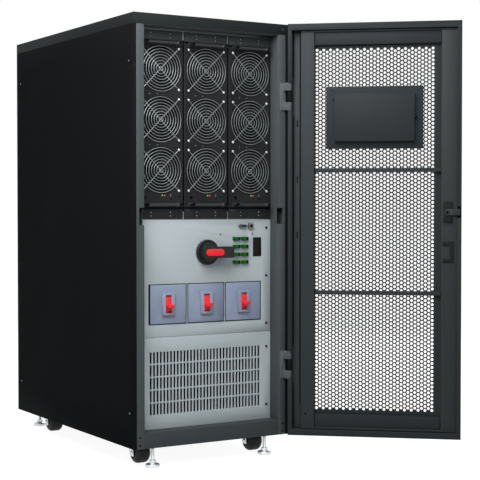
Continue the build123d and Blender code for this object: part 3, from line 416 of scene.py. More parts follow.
def coat_of_paint(name, code, roughness=0.5, grain=1400.0, depth=0.05, wear=0.08, specular=0.2):
    """Powder coat: a fine orange-peel grain, faint cloudiness and a little uneven gloss."""
    flow, place = new_finish(name)
    peel = noise(flow, place, scale=grain, detail=2.0)
    cloud = noise(flow, place, scale=7.0, detail=4.0)
    colour = linear(code)
    surface(flow, {
        "Base Color": blended(
            flow, cloud * 0.7 + peel * 0.3, scaled(colour, 1 - wear), scaled(colour, 1 + wear)),
        "Roughness": cloud * 0.16 + (roughness - 0.08),
        "Normal": bumped(flow, peel, strength=0.35, depth=depth),
        "Specular IOR Level": specular})


def moulded(name, code, roughness=0.42, grain=2200.0, depth=0.03, specular=0.3):
    """Moulded plastic with a fine spark-eroded texture."""
    flow, place = new_finish(name)
    pits = noise(flow, place, scale=grain, detail=1.0)
    cloud = noise(flow, place, scale=22.0, detail=3.0)
    colour = linear(code)
    surface(flow, {
        "Base Color": blended(flow, cloud, scaled(colour, 0.93), scaled(colour, 1.07)),
        "Roughness": pits * 0.14 + (roughness - 0.07),
        "Normal": bumped(flow, pits, strength=0.3, depth=depth),
        "Specular IOR Level": specular})


def metal(name, code, roughness):
    """Bright or zinc-plated steel with drawn lines and faint stains."""
    flow, place = new_finish(name)
    drawn = flow.node("ShaderNodeMapping", {}, {"Vector": place, "Scale": (40.0, 900.0, 40.0)})
    lines = noise(flow, drawn, scale=1.0, detail=3.0)
    stain = noise(flow, place, scale=30.0, detail=4.0)
    colour = linear(code)
    surface(flow, {
        "Base Color": blended(flow, stain * 0.6 + lines * 0.4, scaled(colour, 0.88), scaled(colour, 1.12)),
        "Metallic": 1.0,
        "Roughness": stain * 0.2 + (roughness - 0.1),
        "Normal": bumped(flow, lines, strength=0.2, depth=0.02)})


def screen_face(name, dark, dusty):
    """A dark display window with a faint film of dust."""
    flow, place = new_finish(name)
    dust = noise(flow, place, scale=60.0, detail=5.0)
    surface(flow, {
        "Base Color": blended(flow, dust, linear(dark), linear(dusty)),
        "Roughness": dust * 0.1 + 0.06,
        "Coat Weight": 0.4})


def lamp_lens(name, code):
    """A small lit lamp lens with a faint haze."""
    flow, place = new_finish(name)
    haze = noise(flow, place, scale=900.0, detail=2.0)
    colour = linear(code)
    tone = blended(flow, haze, scaled(colour, 0.8), colour)
    surface(flow, {
        "Base Color": tone, "Roughness": haze * 0.1 + 0.15,
        "Emission Color": tone, "Emission Strength": 0.3})


coat_of_paint("side_paint", "17191a", 0.6, specular=0.005)
coat_of_paint("cover_paint", "222627", 0.55, specular=0.04)
coat_of_paint("frame_paint", "4a4f51", specular=0.12)
coat_of_paint("sill_paint", "3c4143", specular=0.12)
coat_of_paint("door_paint", "303436", specular=0.12)
# A darker copy of the door paint: painted shade, showing the door's shell, rails and display box darker than
# its stiles, which wear the same paint.
coat_of_paint("door_paint_shaded", "292d2f", specular=0.1)
coat_of_paint("mesh_paint", "272b2d", specular=0.12)
coat_of_paint("hinge_paint", "596062", 0.45, specular=0.15)
coat_of_paint("light_paint", "b0babe", wear=0.04)
coat_of_paint("plate_paint", "1e2022", 0.6, grain=700.0, depth=0.16, specular=0.12)
coat_of_paint("ear_paint", "242628", 0.6, grain=700.0, depth=0.16, specular=0.12)
# A lighter copy of the ear paint for the upper ears: painted light, against the shade that the lid's skirt
# throws on them.
coat_of_paint("upper_ear_painted_light", "383c3e", 0.6, grain=700.0, depth=0.16, specular=0.12)
coat_of_paint("pull_paint", "26282a", 0.36, grain=900.0, specular=0.35)
metal("zinc_sheet", "8d9598", 0.45)
metal("guard_wire", "8b9092", 0.36)
metal("screw_steel", "c0c4c6", 0.3)
metal("bright_steel", "c4c8ca", 0.24)
metal("foot_steel", "d2d6d8", 0.46)
moulded("breaker_plastic", "8d99b0", 0.45)
moulded("pale_plastic", "919db3", 0.45)
metal("port_shell", "84898c", 0.4)
moulded("red_plastic", "f02a34", 0.4)
moulded("green_plastic", "085c0e", 0.5, specular=0.1)
moulded("black_plastic", "121314", specular=0.12)
moulded("switch_plastic", "1c1f20", specular=0.25)
moulded("fan_plastic", "17191b", 0.5, specular=0.12)
# Near-black for black screw heads and dots, and painted shade: on the shallow floors of holes, slots and wire
# entries and on the shade bands and lines.
moulded("deep_black", "070708", 0.6, specular=0.05)
# Near-black rubber for the door's hinges, and painted shade on the door's seal strip in the dark gap at the
# hinge side and on the rims round the breakers.
moulded("black_rubber_and_shade", "0d0e0f", 0.7, grain=900.0, depth=0.08, specular=0.1)
screen_face("screen_glass", "101820", "1b2830")
moulded("wheel_rubber", "121314", 0.55, grain=1200.0, depth=0.06, specular=0.25)
lamp_lens("green_lens", "35d040")
lamp_lens("red_lens", "f0303a")

# The finish of each CAD piece that doesn't wear its slot's own
FINISH_OF = {
    "side_panels": "side_paint", "rear_panel": "side_paint", "top_cover": "cover_paint",
    "front_sill": "sill_paint", "base_frame": "sill_paint",
    # The door's shell, rails and display box wear a darker copy of the door paint as painted shade.
    "door_shell": "door_paint_shaded", "door_stiles": "door_paint", "door_rails": "door_paint_shaded",
    "door_crossbars": "door_paint", "display_box": "door_paint_shaded", "lock_case": "cover_paint",
    "latch_clip": "cover_paint", "lock_cam": "door_paint", "door_mesh": "mesh_paint",
    "door_hinges": "black_rubber_and_shade", "rotary_base": "switch_plastic", "rotary_handle": "switch_plastic",
}
for index in MODULES:
    FINISH_OF[f"module_{index}_case"] = "plate_paint"
    FINISH_OF[f"module_{index}_handles"] = "pull_paint"


# Modelling helpers

def only(piece):
    """Selects this piece and nothing else."""
    bpy.ops.object.select_all(action="DESELECT")
    piece.select_set(True)
    bpy.context.view_layer.objects.active = piece


def bench(name):
    """A new piece at the origin, empty and in edit mode."""
    bpy.ops.object.select_all(action="DESELECT")
    bpy.ops.object.add(type="MESH", location=(0, 0, 0))
    piece = bpy.context.object
    piece.name = name
    bpy.ops.object.mode_set(mode="EDIT")
    return piece


def off_bench(piece):
    """Leaves edit mode with the mesh merged and its faces outward."""
    bpy.ops.mesh.select_all(action="SELECT")
    bpy.ops.mesh.remove_doubles(threshold=MERGE)
    bpy.ops.mesh.normals_make_consistent(inside=False)
    bpy.ops.object.mode_set(mode="OBJECT")
    return piece


def pick(piece, kind, test):
    """Selects the faces, edges or verts whose middle passes the test."""
    shape = bmesh.from_edit_mesh(piece.data)
    bpy.ops.mesh.select_mode(type={"faces": "FACE", "edges": "EDGE", "verts": "VERT"}[kind])
    bpy.ops.mesh.select_all(action="DESELECT")
    for part in getattr(shape, kind):
        if kind == "faces":
            chosen = test(part.calc_center_median(), part.normal)
        elif kind == "edges":
            chosen = test((part.verts[0].co + part.verts[1].co) / 2, part)
        else:
            chosen = test(part.co, part)
        if chosen:
            part.select_set(True)
    shape.select_flush_mode()
    bmesh.update_edit_mesh(piece.data)


def pick_before(piece, y):
    """Selects the edges that lie wholly before y, in millimetres."""
    pick(piece, "edges", lambda middle, edge: max(point.co.y for point in edge.verts) < y * MM)


def pick_behind(piece, y):
    """Selects the edges that lie wholly behind y, in millimetres."""
    pick(piece, "edges", lambda middle, edge: min(point.co.y for point in edge.verts) > y * MM)


def box_on(low, high):
    """A block between two corners, in millimetres, added to the piece on the bench."""
    middle = [(a + b) / 2 * MM for a, b in zip(low, high)]
    size = [(b - a) * MM for a, b in zip(low, high)]
    bpy.ops.mesh.primitive_cube_add(size=1.0, location=middle, scale=size)


def disc_on(x, y_back, z, radius, depth, sides):
    """A round block that faces the front, in millimetres, with its back at y_back."""
    bpy.ops.mesh.primitive_cylinder_add(
        vertices=sides, radius=radius * MM, depth=depth * MM,
        location=(x * MM, (y_back - depth / 2) * MM, z * MM), rotation=(pi / 2, 0, 0))


def round_on(radius, low, high, sides):
    """An upright round block between two heights, in millimetres, added to the piece on the bench."""
    bpy.ops.mesh.primitive_cylinder_add(
        vertices=sides, radius=radius * MM, depth=(high - low) * MM, location=(0, 0, (low + high) / 2 * MM))


def ease(width, segments=2):
    """Bevels the selected edges, in millimetres."""
    bpy.ops.mesh.bevel(offset=width * MM, segments=segments, affect="EDGES", clamp_overlap=True)


def inset(width, rise=0.0):
    """Insets the selected faces, and raises or sinks them, in millimetres."""
    bpy.ops.mesh.inset(thickness=width * MM, depth=rise * MM)


def pierce(wall):
    """Leaves the selected front and back faces as a wall round an opening, in millimetres."""
    inset(wall)
    bpy.ops.mesh.bridge_edge_loops()


def draw_edges(x, y, z):
    """Extrudes the selected edges, in millimetres."""
    bpy.ops.mesh.extrude_edges_move(TRANSFORM_OT_translate={"value": (x * MM, y * MM, z * MM)})


def draw_faces(x, y, z):
    """Extrudes the selected faces, in millimetres."""
    bpy.ops.mesh.extrude_region_move(TRANSFORM_OT_translate={"value": (x * MM, y * MM, z * MM)})


def rim_on(piece, x, z, width, height, wall, y_back, depth):
    """An open rectangular rim that faces the front, added to the piece on the bench."""
    box_on((x - width / 2, y_back - depth, z - height / 2), (x + width / 2, y_back, z + height / 2))
    pick(piece, "faces", lambda middle, normal: abs(normal.y) > FACING
         and abs(middle.x - x * MM) < NEAR and abs(middle.z - z * MM) < NEAR)
    pierce(wall)


def finished(piece, body, finish, angle=35.0):
    """Gives a modelled piece its shading, finish and body."""
    only(piece)
    bpy.ops.object.shade_smooth_by_angle(angle=radians(angle))
    piece.data.materials.clear()
    piece.data.materials.append(FINISH[finish])
    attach(piece, body)
    return piece


def applied(piece, kind, **settings):
    """Adds a modifier with these settings and applies it."""
    only(piece)
    modifier = piece.modifiers.new(kind.lower(), kind)
    for name, value in settings.items():
        setattr(modifier, name, value)
    bpy.ops.object.modifier_apply(modifier=modifier.name)


def softened(node, width, moves=()):
    """A copy of a CAD piece with its edges eased, which stands for it. Moves shift the points at a height."""
    piece = bpy.data.objects.new(node + "_eased", frame["nodes"][node].data.copy())
    bpy.context.scene.collection.objects.link(piece)
    only(piece)
    bpy.ops.object.mode_set(mode="EDIT")
    bpy.ops.mesh.select_all(action="SELECT")
    bpy.ops.mesh.remove_doubles(threshold=CAD_MERGE)
    bpy.ops.mesh.dissolve_limited(angle_limit=radians(0.5))
    for level, shift in moves:
        pick(piece, "verts", lambda place, point: abs(place.z - level * MM) < NEAR)
        bpy.ops.transform.translate(value=(0, 0, shift * MM))
    bpy.ops.object.mode_set(mode="OBJECT")
    applied(piece, "BEVEL", width=width * MM, segments=2, limit_method="ANGLE", angle_limit=radians(40.0))
    finished(piece, BODY_OF[node], FINISH_OF.get(node, SLOT_OF[node]))
    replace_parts(piece, node)


def spread(pattern, name, places, keep=False, turn=0.0):
    """Copies of a modelled pattern, turned about the upright, set at these places and joined."""
    copies = []
    for place in places:
        only(pattern)
        bpy.ops.object.duplicate(linked=False)
        copy = bpy.context.object
        copy.location = [value * MM for value in place]
        copy.rotation_euler = (0, 0, radians(turn))
        copies.append(copy)
    bpy.ops.object.select_all(action="DESELECT")
    for copy in copies:
        copy.select_set(True)
    bpy.context.view_layer.objects.active = copies[0]
    bpy.ops.object.transform_apply(location=True, rotation=True, scale=True)
    if len(copies) > 1:
        bpy.ops.object.join()
    piece = bpy.context.object
    piece.name = name
    if not keep:
        bpy.data.objects.remove(pattern)
    return piece


def hung(piece):
    """Takes a piece modelled on the shut door to where the door stands open."""
    only(piece)
    pivot = Matrix.Translation(DOOR_PIVOT)
    piece.matrix_world = pivot @ Matrix.Rotation(radians(DOOR_OPEN), 4, "Z") @ pivot.inverted()
    bpy.ops.object.transform_apply(location=True, rotation=True, scale=True)
    return piece


def on_cabinet(pattern, name, places, finish, turn=0.0):
    """Copies of a pattern, fixed to the cabinet as one piece."""
    return finished(spread(pattern, name, places, turn=turn), "cabinet", finish)


def on_door(pattern, name, places, finish, body="door"):
    """Copies of a pattern, fixed to the door's inside as one piece."""
    return finished(hung(spread(pattern, name, places, turn=180.0)), body, finish)


def head_pattern(kind):
    """The round head of a screw, rivet or lens that faces the front."""
    radius, height, sides, socket = HEADS[kind]
    head = bench("head_pattern")
    disc_on(0, 0, 0, radius, height * HEAD_FOOT, sides)
    pick(head, "faces", lambda middle, normal: normal.y < -FACING)
    for width, rise in HEAD_RINGS + ((HEAD_SOCKET,) if socket else ()):
        inset(radius * width, height * rise)
    return off_bench(head)


def hole_pattern(kind):
    """A small open hole that faces the front: a thin lip round a shallow sunk floor; the black it is given
    stands in as painted shade for the hole's depth.
    """
    radius, sides = HOLES[kind]
    hole = bench("hole_pattern")
    disc_on(0, 0, 0, radius, HOLE_RISE, sides)
    pick(hole, "faces", lambda middle, normal: normal.y < -FACING)
    inset(radius * HOLE_LIP)
    inset(radius * HOLE_WALL, -HOLE_SINK)
    return off_bench(hole)


def plaque_pattern(blocks, edge):
    """Flat blocks that stand on a face behind them, with their front edges eased."""
    plaque = bench("plaque_pattern")
    for low, high in blocks:
        box_on(low, high)
    pick_before(plaque, -edge)
    ease(edge)
    return off_bench(plaque)


# Finishes and eased edges on the CAD pieces

for node, piece in frame["nodes"].items():
    for holder in piece.material_slots:
        holder.material = FINISH[FINISH_OF.get(node, SLOT_OF[node])]

for node, width in EASED.items():
    softened(node, width)
softened("door_shell", DOOR_SHELL_EDGE, WINDOW_MOVES + NOTCH_MOVES)
for index in MODULES:
    softened(f"module_{index}_case", MODULE_CASE_EDGE)
    softened(f"breaker_toggle_{index}", TOGGLE_EDGE)
for corner in CORNERS:
    softened(f"caster_fork_{corner}", FORK_EDGE)


# Power modules: wire guards, fans, pulls, ears and status lamps

def guard_pattern():
    """A wire fan guard: rings on two crossed bars that end under the corner screws."""
    guard = bench("guard_pattern")
    for radius in GUARD_RINGS:
        bpy.ops.mesh.primitive_circle_add(
            vertices=WIRE_SIDES, radius=RING_WIRE / 2 * MM, location=(radius * MM, -RING_STAND * MM, 0))
        bpy.ops.mesh.spin(
            steps=RING_STEPS, angle=2 * pi, center=(0, -RING_STAND * MM, 0), axis=(0, 1, 0))
    for turn in (pi / 4, -pi / 4):
        bpy.ops.mesh.primitive_cylinder_add(
            vertices=WIRE_SIDES, radius=BAR_WIRE / 2 * MM, depth=2 * sqrt(2) * SCREW_REACH * MM,
            location=(0, -BAR_WIRE / 2 * MM, 0), rotation=(0, turn, 0))
    for x in (-SCREW_REACH, SCREW_REACH):
        for z in (-SCREW_REACH, SCREW_REACH):
            disc_on(x, 0, z, SCREW_EYE, BAR_WIRE, sides=12)
    return off_bench(guard)


def fan_pattern():
    """A fan wheel: a domed hub and twisted blades, with its back on the pocket's floor."""
    fan = bench("fan_pattern")
    disc_on(0, 0, 0, HUB_RADIUS, HUB_HEIGHT, sides=32)
    pick(fan, "edges", lambda middle, edge: middle.y < -(HUB_HEIGHT - 1) * MM)
    ease(HUB_EDGE, segments=3)
    for index in range(FAN_BLADES):
        turn = Matrix.Rotation(2 * pi * index / FAN_BLADES, 4, "Y")
        bpy.ops.mesh.primitive_grid_add(x_subdivisions=5, y_subdivisions=3, size=1.0, location=(0, 0, 0))
        bpy.ops.transform.resize(value=((BLADE_TIP - HUB_RADIUS + BLADE_ROOT) * MM, BLADE_CHORD * MM, 1.0))
        bpy.ops.transform.translate(value=((BLADE_TIP + HUB_RADIUS - BLADE_ROOT) / 2 * MM, 0, 0))
        shape = bmesh.from_edit_mesh(fan.data)
        for point in shape.verts:
            if point.select:
                x, y = point.co.x, point.co.y
                share = (x / MM - HUB_RADIUS) / (BLADE_TIP - HUB_RADIUS)
                pitch = radians(BLADE_PITCH - BLADE_TWIST * share)
                bow = BLADE_BOW * MM * (1 - (2 * y / (BLADE_CHORD * MM)) ** 2)
                chord = y * (1 + BLADE_FLARE * share)
                back = -HUB_HEIGHT / 2 * MM + chord * cos(pitch) * BLADE_RAKE - bow
                point.co = turn @ Vector((x, back, chord * sin(pitch)))
        bmesh.update_edit_mesh(fan.data)
    bpy.ops.object.mode_set(mode="OBJECT")
    applied(fan, "SOLIDIFY", thickness=BLADE_THICK * MM, offset=0.0)
    return fan


def pull_pattern():
    """A module's pull: a round bar bent back to the plate at both ends, on two small collars."""
    pull = bench("pull_pattern")
    straight = PULL_REACH - PULL_RADIUS - PULL_BEND
    half = PULL_LEG - PULL_BEND

    def bend(x):
        bpy.ops.mesh.spin(
            steps=BEND_STEPS, angle=pi / 2, center=(x * MM, -straight * MM, 0), axis=(0, 0, 1))

    bpy.ops.mesh.primitive_circle_add(
        vertices=16, radius=PULL_RADIUS * MM, location=(-PULL_LEG * MM, 0, 0), rotation=(pi / 2, 0, 0))
    draw_edges(0, -straight, 0)
    bend(-half)
    draw_edges(2 * half, 0, 0)
    bend(half)
    draw_edges(0, straight, 0)
    for x in (-PULL_LEG, PULL_LEG):
        reach = PULL_RADIUS + PULL_COLLAR_RIM
        disc_on(x, 0, 0, reach, PULL_COLLAR_DEPTH, sides=20)
        pick(pull, "edges", lambda middle, edge: abs(middle.y + PULL_COLLAR_DEPTH * MM) < 0.1 * MM
             and abs(middle.x - x * MM) < (reach + 0.1) * MM)
        ease(PULL_COLLAR_EDGE)
    return off_bench(pull)


def ear_blocks(thick, runs):
    """Full-width blocks on a module's plate, between these heights."""
    return [((-EAR_HALF, -thick, low), (EAR_HALF, 0, high)) for low, high in runs]


CORNER_SCREWS = [(side, -BAR_WIRE, z + rise) for z in FAN_HEIGHTS
                 for side in (-SCREW_REACH, SCREW_REACH) for rise in (-SCREW_REACH, SCREW_REACH)]
EAR_DOTS = [(side, -EAR_THICK, (low + high) / 2 + rise) for low, high in (LOWER_EAR, UPPER_EAR)
            for side in (-EAR_DOT_SIDE, EAR_DOT_SIDE) for rise in (-EAR_DOT_RISE, EAR_DOT_RISE)]
RIVETS = [(side, 0, z) for z in RIVET_HEIGHTS for side in RIVETS_X]
AS_MADE = [(0, 0, 0)]

# Each module's pieces: pattern, name, finish and places
MODULE_PIECES = (
    (guard_pattern(), "wire_guards", "guard_wire", [(0, 0, z) for z in FAN_HEIGHTS]),
    (fan_pattern(), "fan_wheels", "fan_plastic", [(0, POCKET_DEPTH, z) for z in FAN_HEIGHTS]),
    (pull_pattern(), "pulls", "pull_paint", [(0, 0, z) for z in PULL_HEIGHTS]),
    (head_pattern("guard_screw"), "guard_screws", "screw_steel", CORNER_SCREWS),
    (plaque_pattern(ear_blocks(EAR_THICK, [LOWER_EAR]), EAR_EDGE), "lower_ear", "ear_paint", AS_MADE),
    # The upper ears wear the lighter ear paint as painted light.
    (plaque_pattern(ear_blocks(EAR_THICK, [UPPER_EAR]), EAR_EDGE), "upper_ear", "upper_ear_painted_light", AS_MADE),
    # Black bands next to the pulls: painted shade on the plate.
    (plaque_pattern(ear_blocks(EAR_SHADE_THICK, EAR_SHADE_BANDS), EAR_SHADE_EDGE), "ear_shade_bands", "deep_black", AS_MADE),
    (head_pattern("ear_screw"), "ear_screws", "zinc_sheet", EAR_DOTS),
    (head_pattern("plate_rivet"), "plate_rivets", "zinc_sheet", RIVETS),
    (head_pattern("status_lens"), "green_lens", "green_lens", [(GREEN_LENS_X, 0, LENS_HEIGHT)]),
    (head_pattern("status_lens"), "red_lens", "red_lens", [(RED_LENS_X, 0, LENS_HEIGHT)]),
    (hole_pattern("plate_hole"), "plate_holes", "deep_black", PLATE_HOLES),
    (hole_pattern("lamp_hole"), "lamp_hole", "deep_black", [LAMP_HOLE]),
    (plaque_pattern([CARD_SLOT], SLOT_EDGE), "card_slot", "deep_black", [CARD_SLOT_PLACE]),
    (plaque_pattern([CARD_EDGE], SLOT_EDGE), "card_edge", "zinc_sheet", [CARD_EDGE_PLACE]),
)
STANDS_FOR = {"wire_guards": "guards", "fan_wheels": "fans", "pulls": "handles"}
for index, x in MODULES.items():
    for pattern, name, finish, places in MODULE_PIECES:
        at = [(x + across, PLATE_FRONT + back, z) for across, back, z in places]
        piece = spread(pattern, f"module_{index}_{name}", at, keep=index < len(MODULES))
        finished(piece, f"power_module_{index}", finish)
        if name in STANDS_FOR:
            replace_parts(piece, f"module_{index}_{STANDS_FOR[name]}")


# Body: the strips over the modules, screws and holes

def header_backing():
    """The folded strip that closes the gap over the modules, behind the lid's skirt."""
    strip = bench("header_backing")
    box_on(*HEADER_STRIP)
    pick(strip, "faces", lambda middle, normal: normal.z > FACING)
    draw_faces(0, 0, HEADER_LIP)
    top = HEADER_STRIP[1][2] * MM
    pick(strip, "faces", lambda middle, normal: normal.y > FACING and middle.z > top)
    draw_faces(0, HEADER_FOLD, 0)
    return finished(off_bench(strip), "cabinet", "cover_paint")


def header_soffit():
    """The flat strip under the lid's skirt, from the skirt back to the modules, in a paint lighter than the
    lid's: painted light on this shaded underside.
    """
    soffit = bench("header_soffit")
    box_on(*SOFFIT)
    under = (SOFFIT[0][2] + 0.1) * MM
    pick(soffit, "edges", lambda middle, edge: max(point.co.z for point in edge.verts) < under)
    ease(SOFFIT_EDGE)
    return finished(off_bench(soffit), "cabinet", "hinge_paint")


def dimpled(piece, places, turn):
    """Sinks round dimples into a piece at these places."""
    cutter = bench("dimple_cutter")
    disc_on(0, 0, 0, DIMPLE_RADIUS, 2 * SIDE_SCREW_SINK, sides=24)
    cutters = spread(off_bench(cutter), "dimple_cutters", places, turn=turn)
    applied(piece, "BOOLEAN", operation="DIFFERENCE", object=cutters)
    bpy.data.objects.remove(cutters)


header_backing()
header_soffit()
panel_screws = [(side * PANEL_SCREW_X, PANEL_FRONT, z) for z in PANEL_SCREW_HEIGHTS for side in (-1, 1)]
on_cabinet(head_pattern("panel_screw"), "panel_screws", panel_screws, "deep_black")
panel_holes = [(x, PANEL_FRONT, PANEL_HOLE_HEIGHT) for x in PANEL_HOLES_X]
on_cabinet(hole_pattern("panel_hole"), "panel_holes", panel_holes, "deep_black")
post_holes = [(side * POST_X, FRONT, z) for z in POST_HOLE_HEIGHTS for side in (-1, 1)]
on_cabinet(hole_pattern("post_hole"), "post_holes", post_holes, "deep_black")
header_screw = [(POST_X, FRONT, HEADER_SCREW_HEIGHT)]
on_cabinet(head_pattern("header_screw"), "header_screw", header_screw, "frame_paint")
for name, side in (("left", -1), ("right", 1)):
    sunk = side * (BODY_HALF - SIDE_SCREW_SINK)
    side_screws = [(sunk, y, z) for y in (-SIDE_SCREW_Y, SIDE_SCREW_Y) for z in SIDE_SCREW_HEIGHTS]
    dimpled(bpy.data.objects["side_panels_eased"], side_screws, side * 90.0)
    on_cabinet(head_pattern("side_screw"), f"side_screws_{name}", side_screws, "zinc_sheet", side * 90.0)
rear_screws = [(side * REAR_SCREW_X, REAR_FACE, z) for side in (-1, 1) for z in REAR_SCREW_HEIGHTS]
on_cabinet(head_pattern("rear_screw"), "rear_screws", rear_screws, "screw_steel", 180.0)


# Switch panel: dark rims of painted shade round the breakers, ports, bypass switch and terminals

def breaker_shade_rims():
    """Dark rims round the breakers, each in its window, with a wider lip at the first: painted shade along
    the window edges, the lip a painted shadow of the panel's edge.
    """
    shade_rims = bench("breaker_shade_rims")
    for x in BREAKERS:
        rim_on(shade_rims, x, BREAKER_Z, BREAKER_WIDE + BREAKER_SHADE_GROWTH, BREAKER_TALL + BREAKER_SHADE_GROWTH,
               BREAKER_SHADE_WALL, PANEL_FRONT, BREAKER_SHADE_DEPTH)
    edge = BREAKERS[0] - BREAKER_WIDE / 2
    box_on((edge, BREAKER_FRONT - SHADE_LIP_RISE, BREAKER_Z - BREAKER_TALL / 2),
           (edge + SHADE_LIP_WIDTH, PANEL_FRONT, BREAKER_Z + BREAKER_TALL / 2))
    return finished(off_bench(shade_rims), "cabinet", "black_rubber_and_shade")


def port_shells():
    """Bright shells on the round-ended and the square port, and the two posts beside the first."""
    shells = bench("port_shells")
    rim_on(shells, LONG_PORT_X, PORT_Z, LONG_PORT_WIDTH, LONG_PORT_HEIGHT, LONG_PORT_WALL,
           PORT_FRONT, LONG_PORT_DEPTH)
    rim_on(shells, SQUARE_PORT_X, PORT_Z, SQUARE_PORT_SIDE, SQUARE_PORT_SIDE, SQUARE_PORT_WALL,
           PORT_FRONT, SQUARE_PORT_DEPTH)

    def at_end(x):
        return abs(abs(x - LONG_PORT_X * MM) - LONG_PORT_WIDTH / 2 * MM) < 0.1 * MM

    pick(shells, "edges", lambda middle, edge: at_end(middle.x)
         and abs(edge.verts[0].co.y - edge.verts[1].co.y) > 0.5 * MM)
    ease(LONG_PORT_ROUND, segments=4)
    for x in PORT_POSTS_X:
        disc_on(x, PANEL_FRONT, PORT_Z, PORT_POST_RADIUS, PORT_POST_DEPTH, sides=6)
        pick(shells, "faces", lambda middle, normal: normal.y < -FACING and abs(middle.x - x * MM) < NEAR)
        for width, rise in PORT_POST_STEPS:
            inset(width, rise)
    return finished(off_bench(shells), "cabinet", "port_shell")


def switch_collar():
    """The raised ring on the bypass switch's base."""
    collar = bench("switch_collar")
    disc_on(SWITCH_X, SWITCH_BASE_FRONT, SWITCH_Z, SWITCH_COLLAR_RADIUS, SWITCH_COLLAR_RISE, sides=48)
    pick(collar, "faces", lambda middle, normal: abs(normal.y) > FACING)
    pierce(SWITCH_COLLAR_WIDTH)
    pick_before(collar, SWITCH_BASE_FRONT - SWITCH_COLLAR_RISE + 0.1)
    ease(SWITCH_COLLAR_EDGE)
    return finished(off_bench(collar), "cabinet", "black_plastic")


def terminal_pattern():
    """A terminal's dark ends: the sunk wire entry at the right and a thin cap at the left."""
    terminal = bench("terminal_pattern")
    box_on(*TERMINAL_ENTRY)
    pick(terminal, "faces", lambda middle, normal: normal.y < -FACING)
    for width, rise in TERMINAL_ENTRY_STEPS:
        inset(width, rise)
    box_on(*TERMINAL_CAP)
    pick(terminal, "faces", lambda middle, normal: normal.y < -FACING and middle.x < 0)
    inset(*TERMINAL_CAP_STEP)
    return off_bench(terminal)


breaker_shade_rims()
port_shells()
switch_collar()
entries = [(x, TERMINAL_FRONT, z) for x in TERMINAL_COLUMNS for z in TERMINAL_ROWS]
on_cabinet(terminal_pattern(), "terminal_entries", entries, "deep_black")


# Levelling feet and casters

def foot_pattern():
    """A levelling foot: a rounded pad, a nut, a threaded stud and a second nut under the base."""
    foot = bench("foot_pattern")
    round_on(PAD_RADIUS, 0, PAD_HEIGHT, sides=40)
    pick(foot, "edges", lambda middle, edge: abs(middle.z - PAD_HEIGHT * MM) < NEAR)
    ease(PAD_TOP_EDGE, segments=5)
    pick(foot, "edges", lambda middle, edge: middle.z < NEAR)
    ease(PAD_FOOT_EDGE, segments=4)
    pick(foot, "faces", lambda middle, normal: normal.z > FACING_SQUARELY)
    for width, rise in PAD_STEPS:
        inset(width, rise)
    for low, high in NUT_HEIGHTS:
        round_on(NUT_RADIUS, low, high, sides=6)
        pick(foot, "faces", lambda middle, normal: abs(normal.z) > FACING_SQUARELY and middle.xy.length < NEAR
             and min(abs(middle.z - low * MM), abs(middle.z - high * MM)) < NEAR)
        inset(*NUT_STEP)
    level = STUD_FOOT
    bpy.ops.mesh.select_all(action="DESELECT")
    bpy.ops.mesh.primitive_circle_add(vertices=14, radius=STUD_RADIUS * MM, location=(0, 0, level * MM))
    for size in THREAD_TURNS * (THREAD_WAIST, 1 / THREAD_WAIST):
        level += THREAD_RISE
        draw_edges(0, 0, THREAD_RISE)
        bpy.ops.transform.resize(value=(size, size, 1.0), center_override=(0, 0, level * MM))
    return off_bench(foot)


def wheel_pattern():
    """A barrel wheel that lies across the cabinet: rounded shoulders, sunk sides, hubs and a bore."""
    wheel = bench("wheel_pattern")
    bpy.ops.mesh.primitive_cylinder_add(
        vertices=48, radius=WHEEL_RADIUS * MM, depth=WHEEL_WIDTH * MM, rotation=(0, pi / 2, 0))
    pick(wheel, "edges", lambda middle, edge: abs(edge.verts[0].co.x - edge.verts[1].co.x) < NEAR)
    ease(WHEEL_SHOULDER, segments=6)
    pick(wheel, "faces", lambda middle, normal: abs(normal.x) > FACING_SQUARELY and middle.yz.length < NEAR)
    for width, rise in WHEEL_SIDE_STEPS:
        inset(width, rise)
    bpy.ops.mesh.bridge_edge_loops()
    return off_bench(wheel)


foot_places = [(x * FOOT_PLACE[0], y * FOOT_PLACE[1], 0) for x, y in CORNERS.values()]
feet = on_cabinet(foot_pattern(), "levelling_feet_turned", foot_places, "foot_steel")
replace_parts(feet, "levelling_feet")
wheel = wheel_pattern()
axle_head = head_pattern("axle_head")
for corner, (x, y) in CORNERS.items():
    keep = corner != LAST_CORNER
    axle = (x * CASTER_PLACE[0], y * CASTER_PLACE[1] - CASTER_TRAIL, AXLE_HEIGHT)
    barrel = spread(wheel, f"caster_barrel_{corner}", [axle], keep)
    finished(barrel, f"wheel_{corner}", "wheel_rubber")
    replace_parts(barrel, f"caster_wheel_{corner}")
    for name, side in (("left", -1), ("right", 1)):
        place = (axle[0] + side * CHEEK_OUTER, axle[1], axle[2])
        head = spread(axle_head, f"axle_head_{corner}_{name}", [place], keep or side < 0, side * 90.0)
        finished(head, f"fork_{corner}", "bright_steel")


# Door: mesh, seal and shade strips, folds, slots, display cover and lock

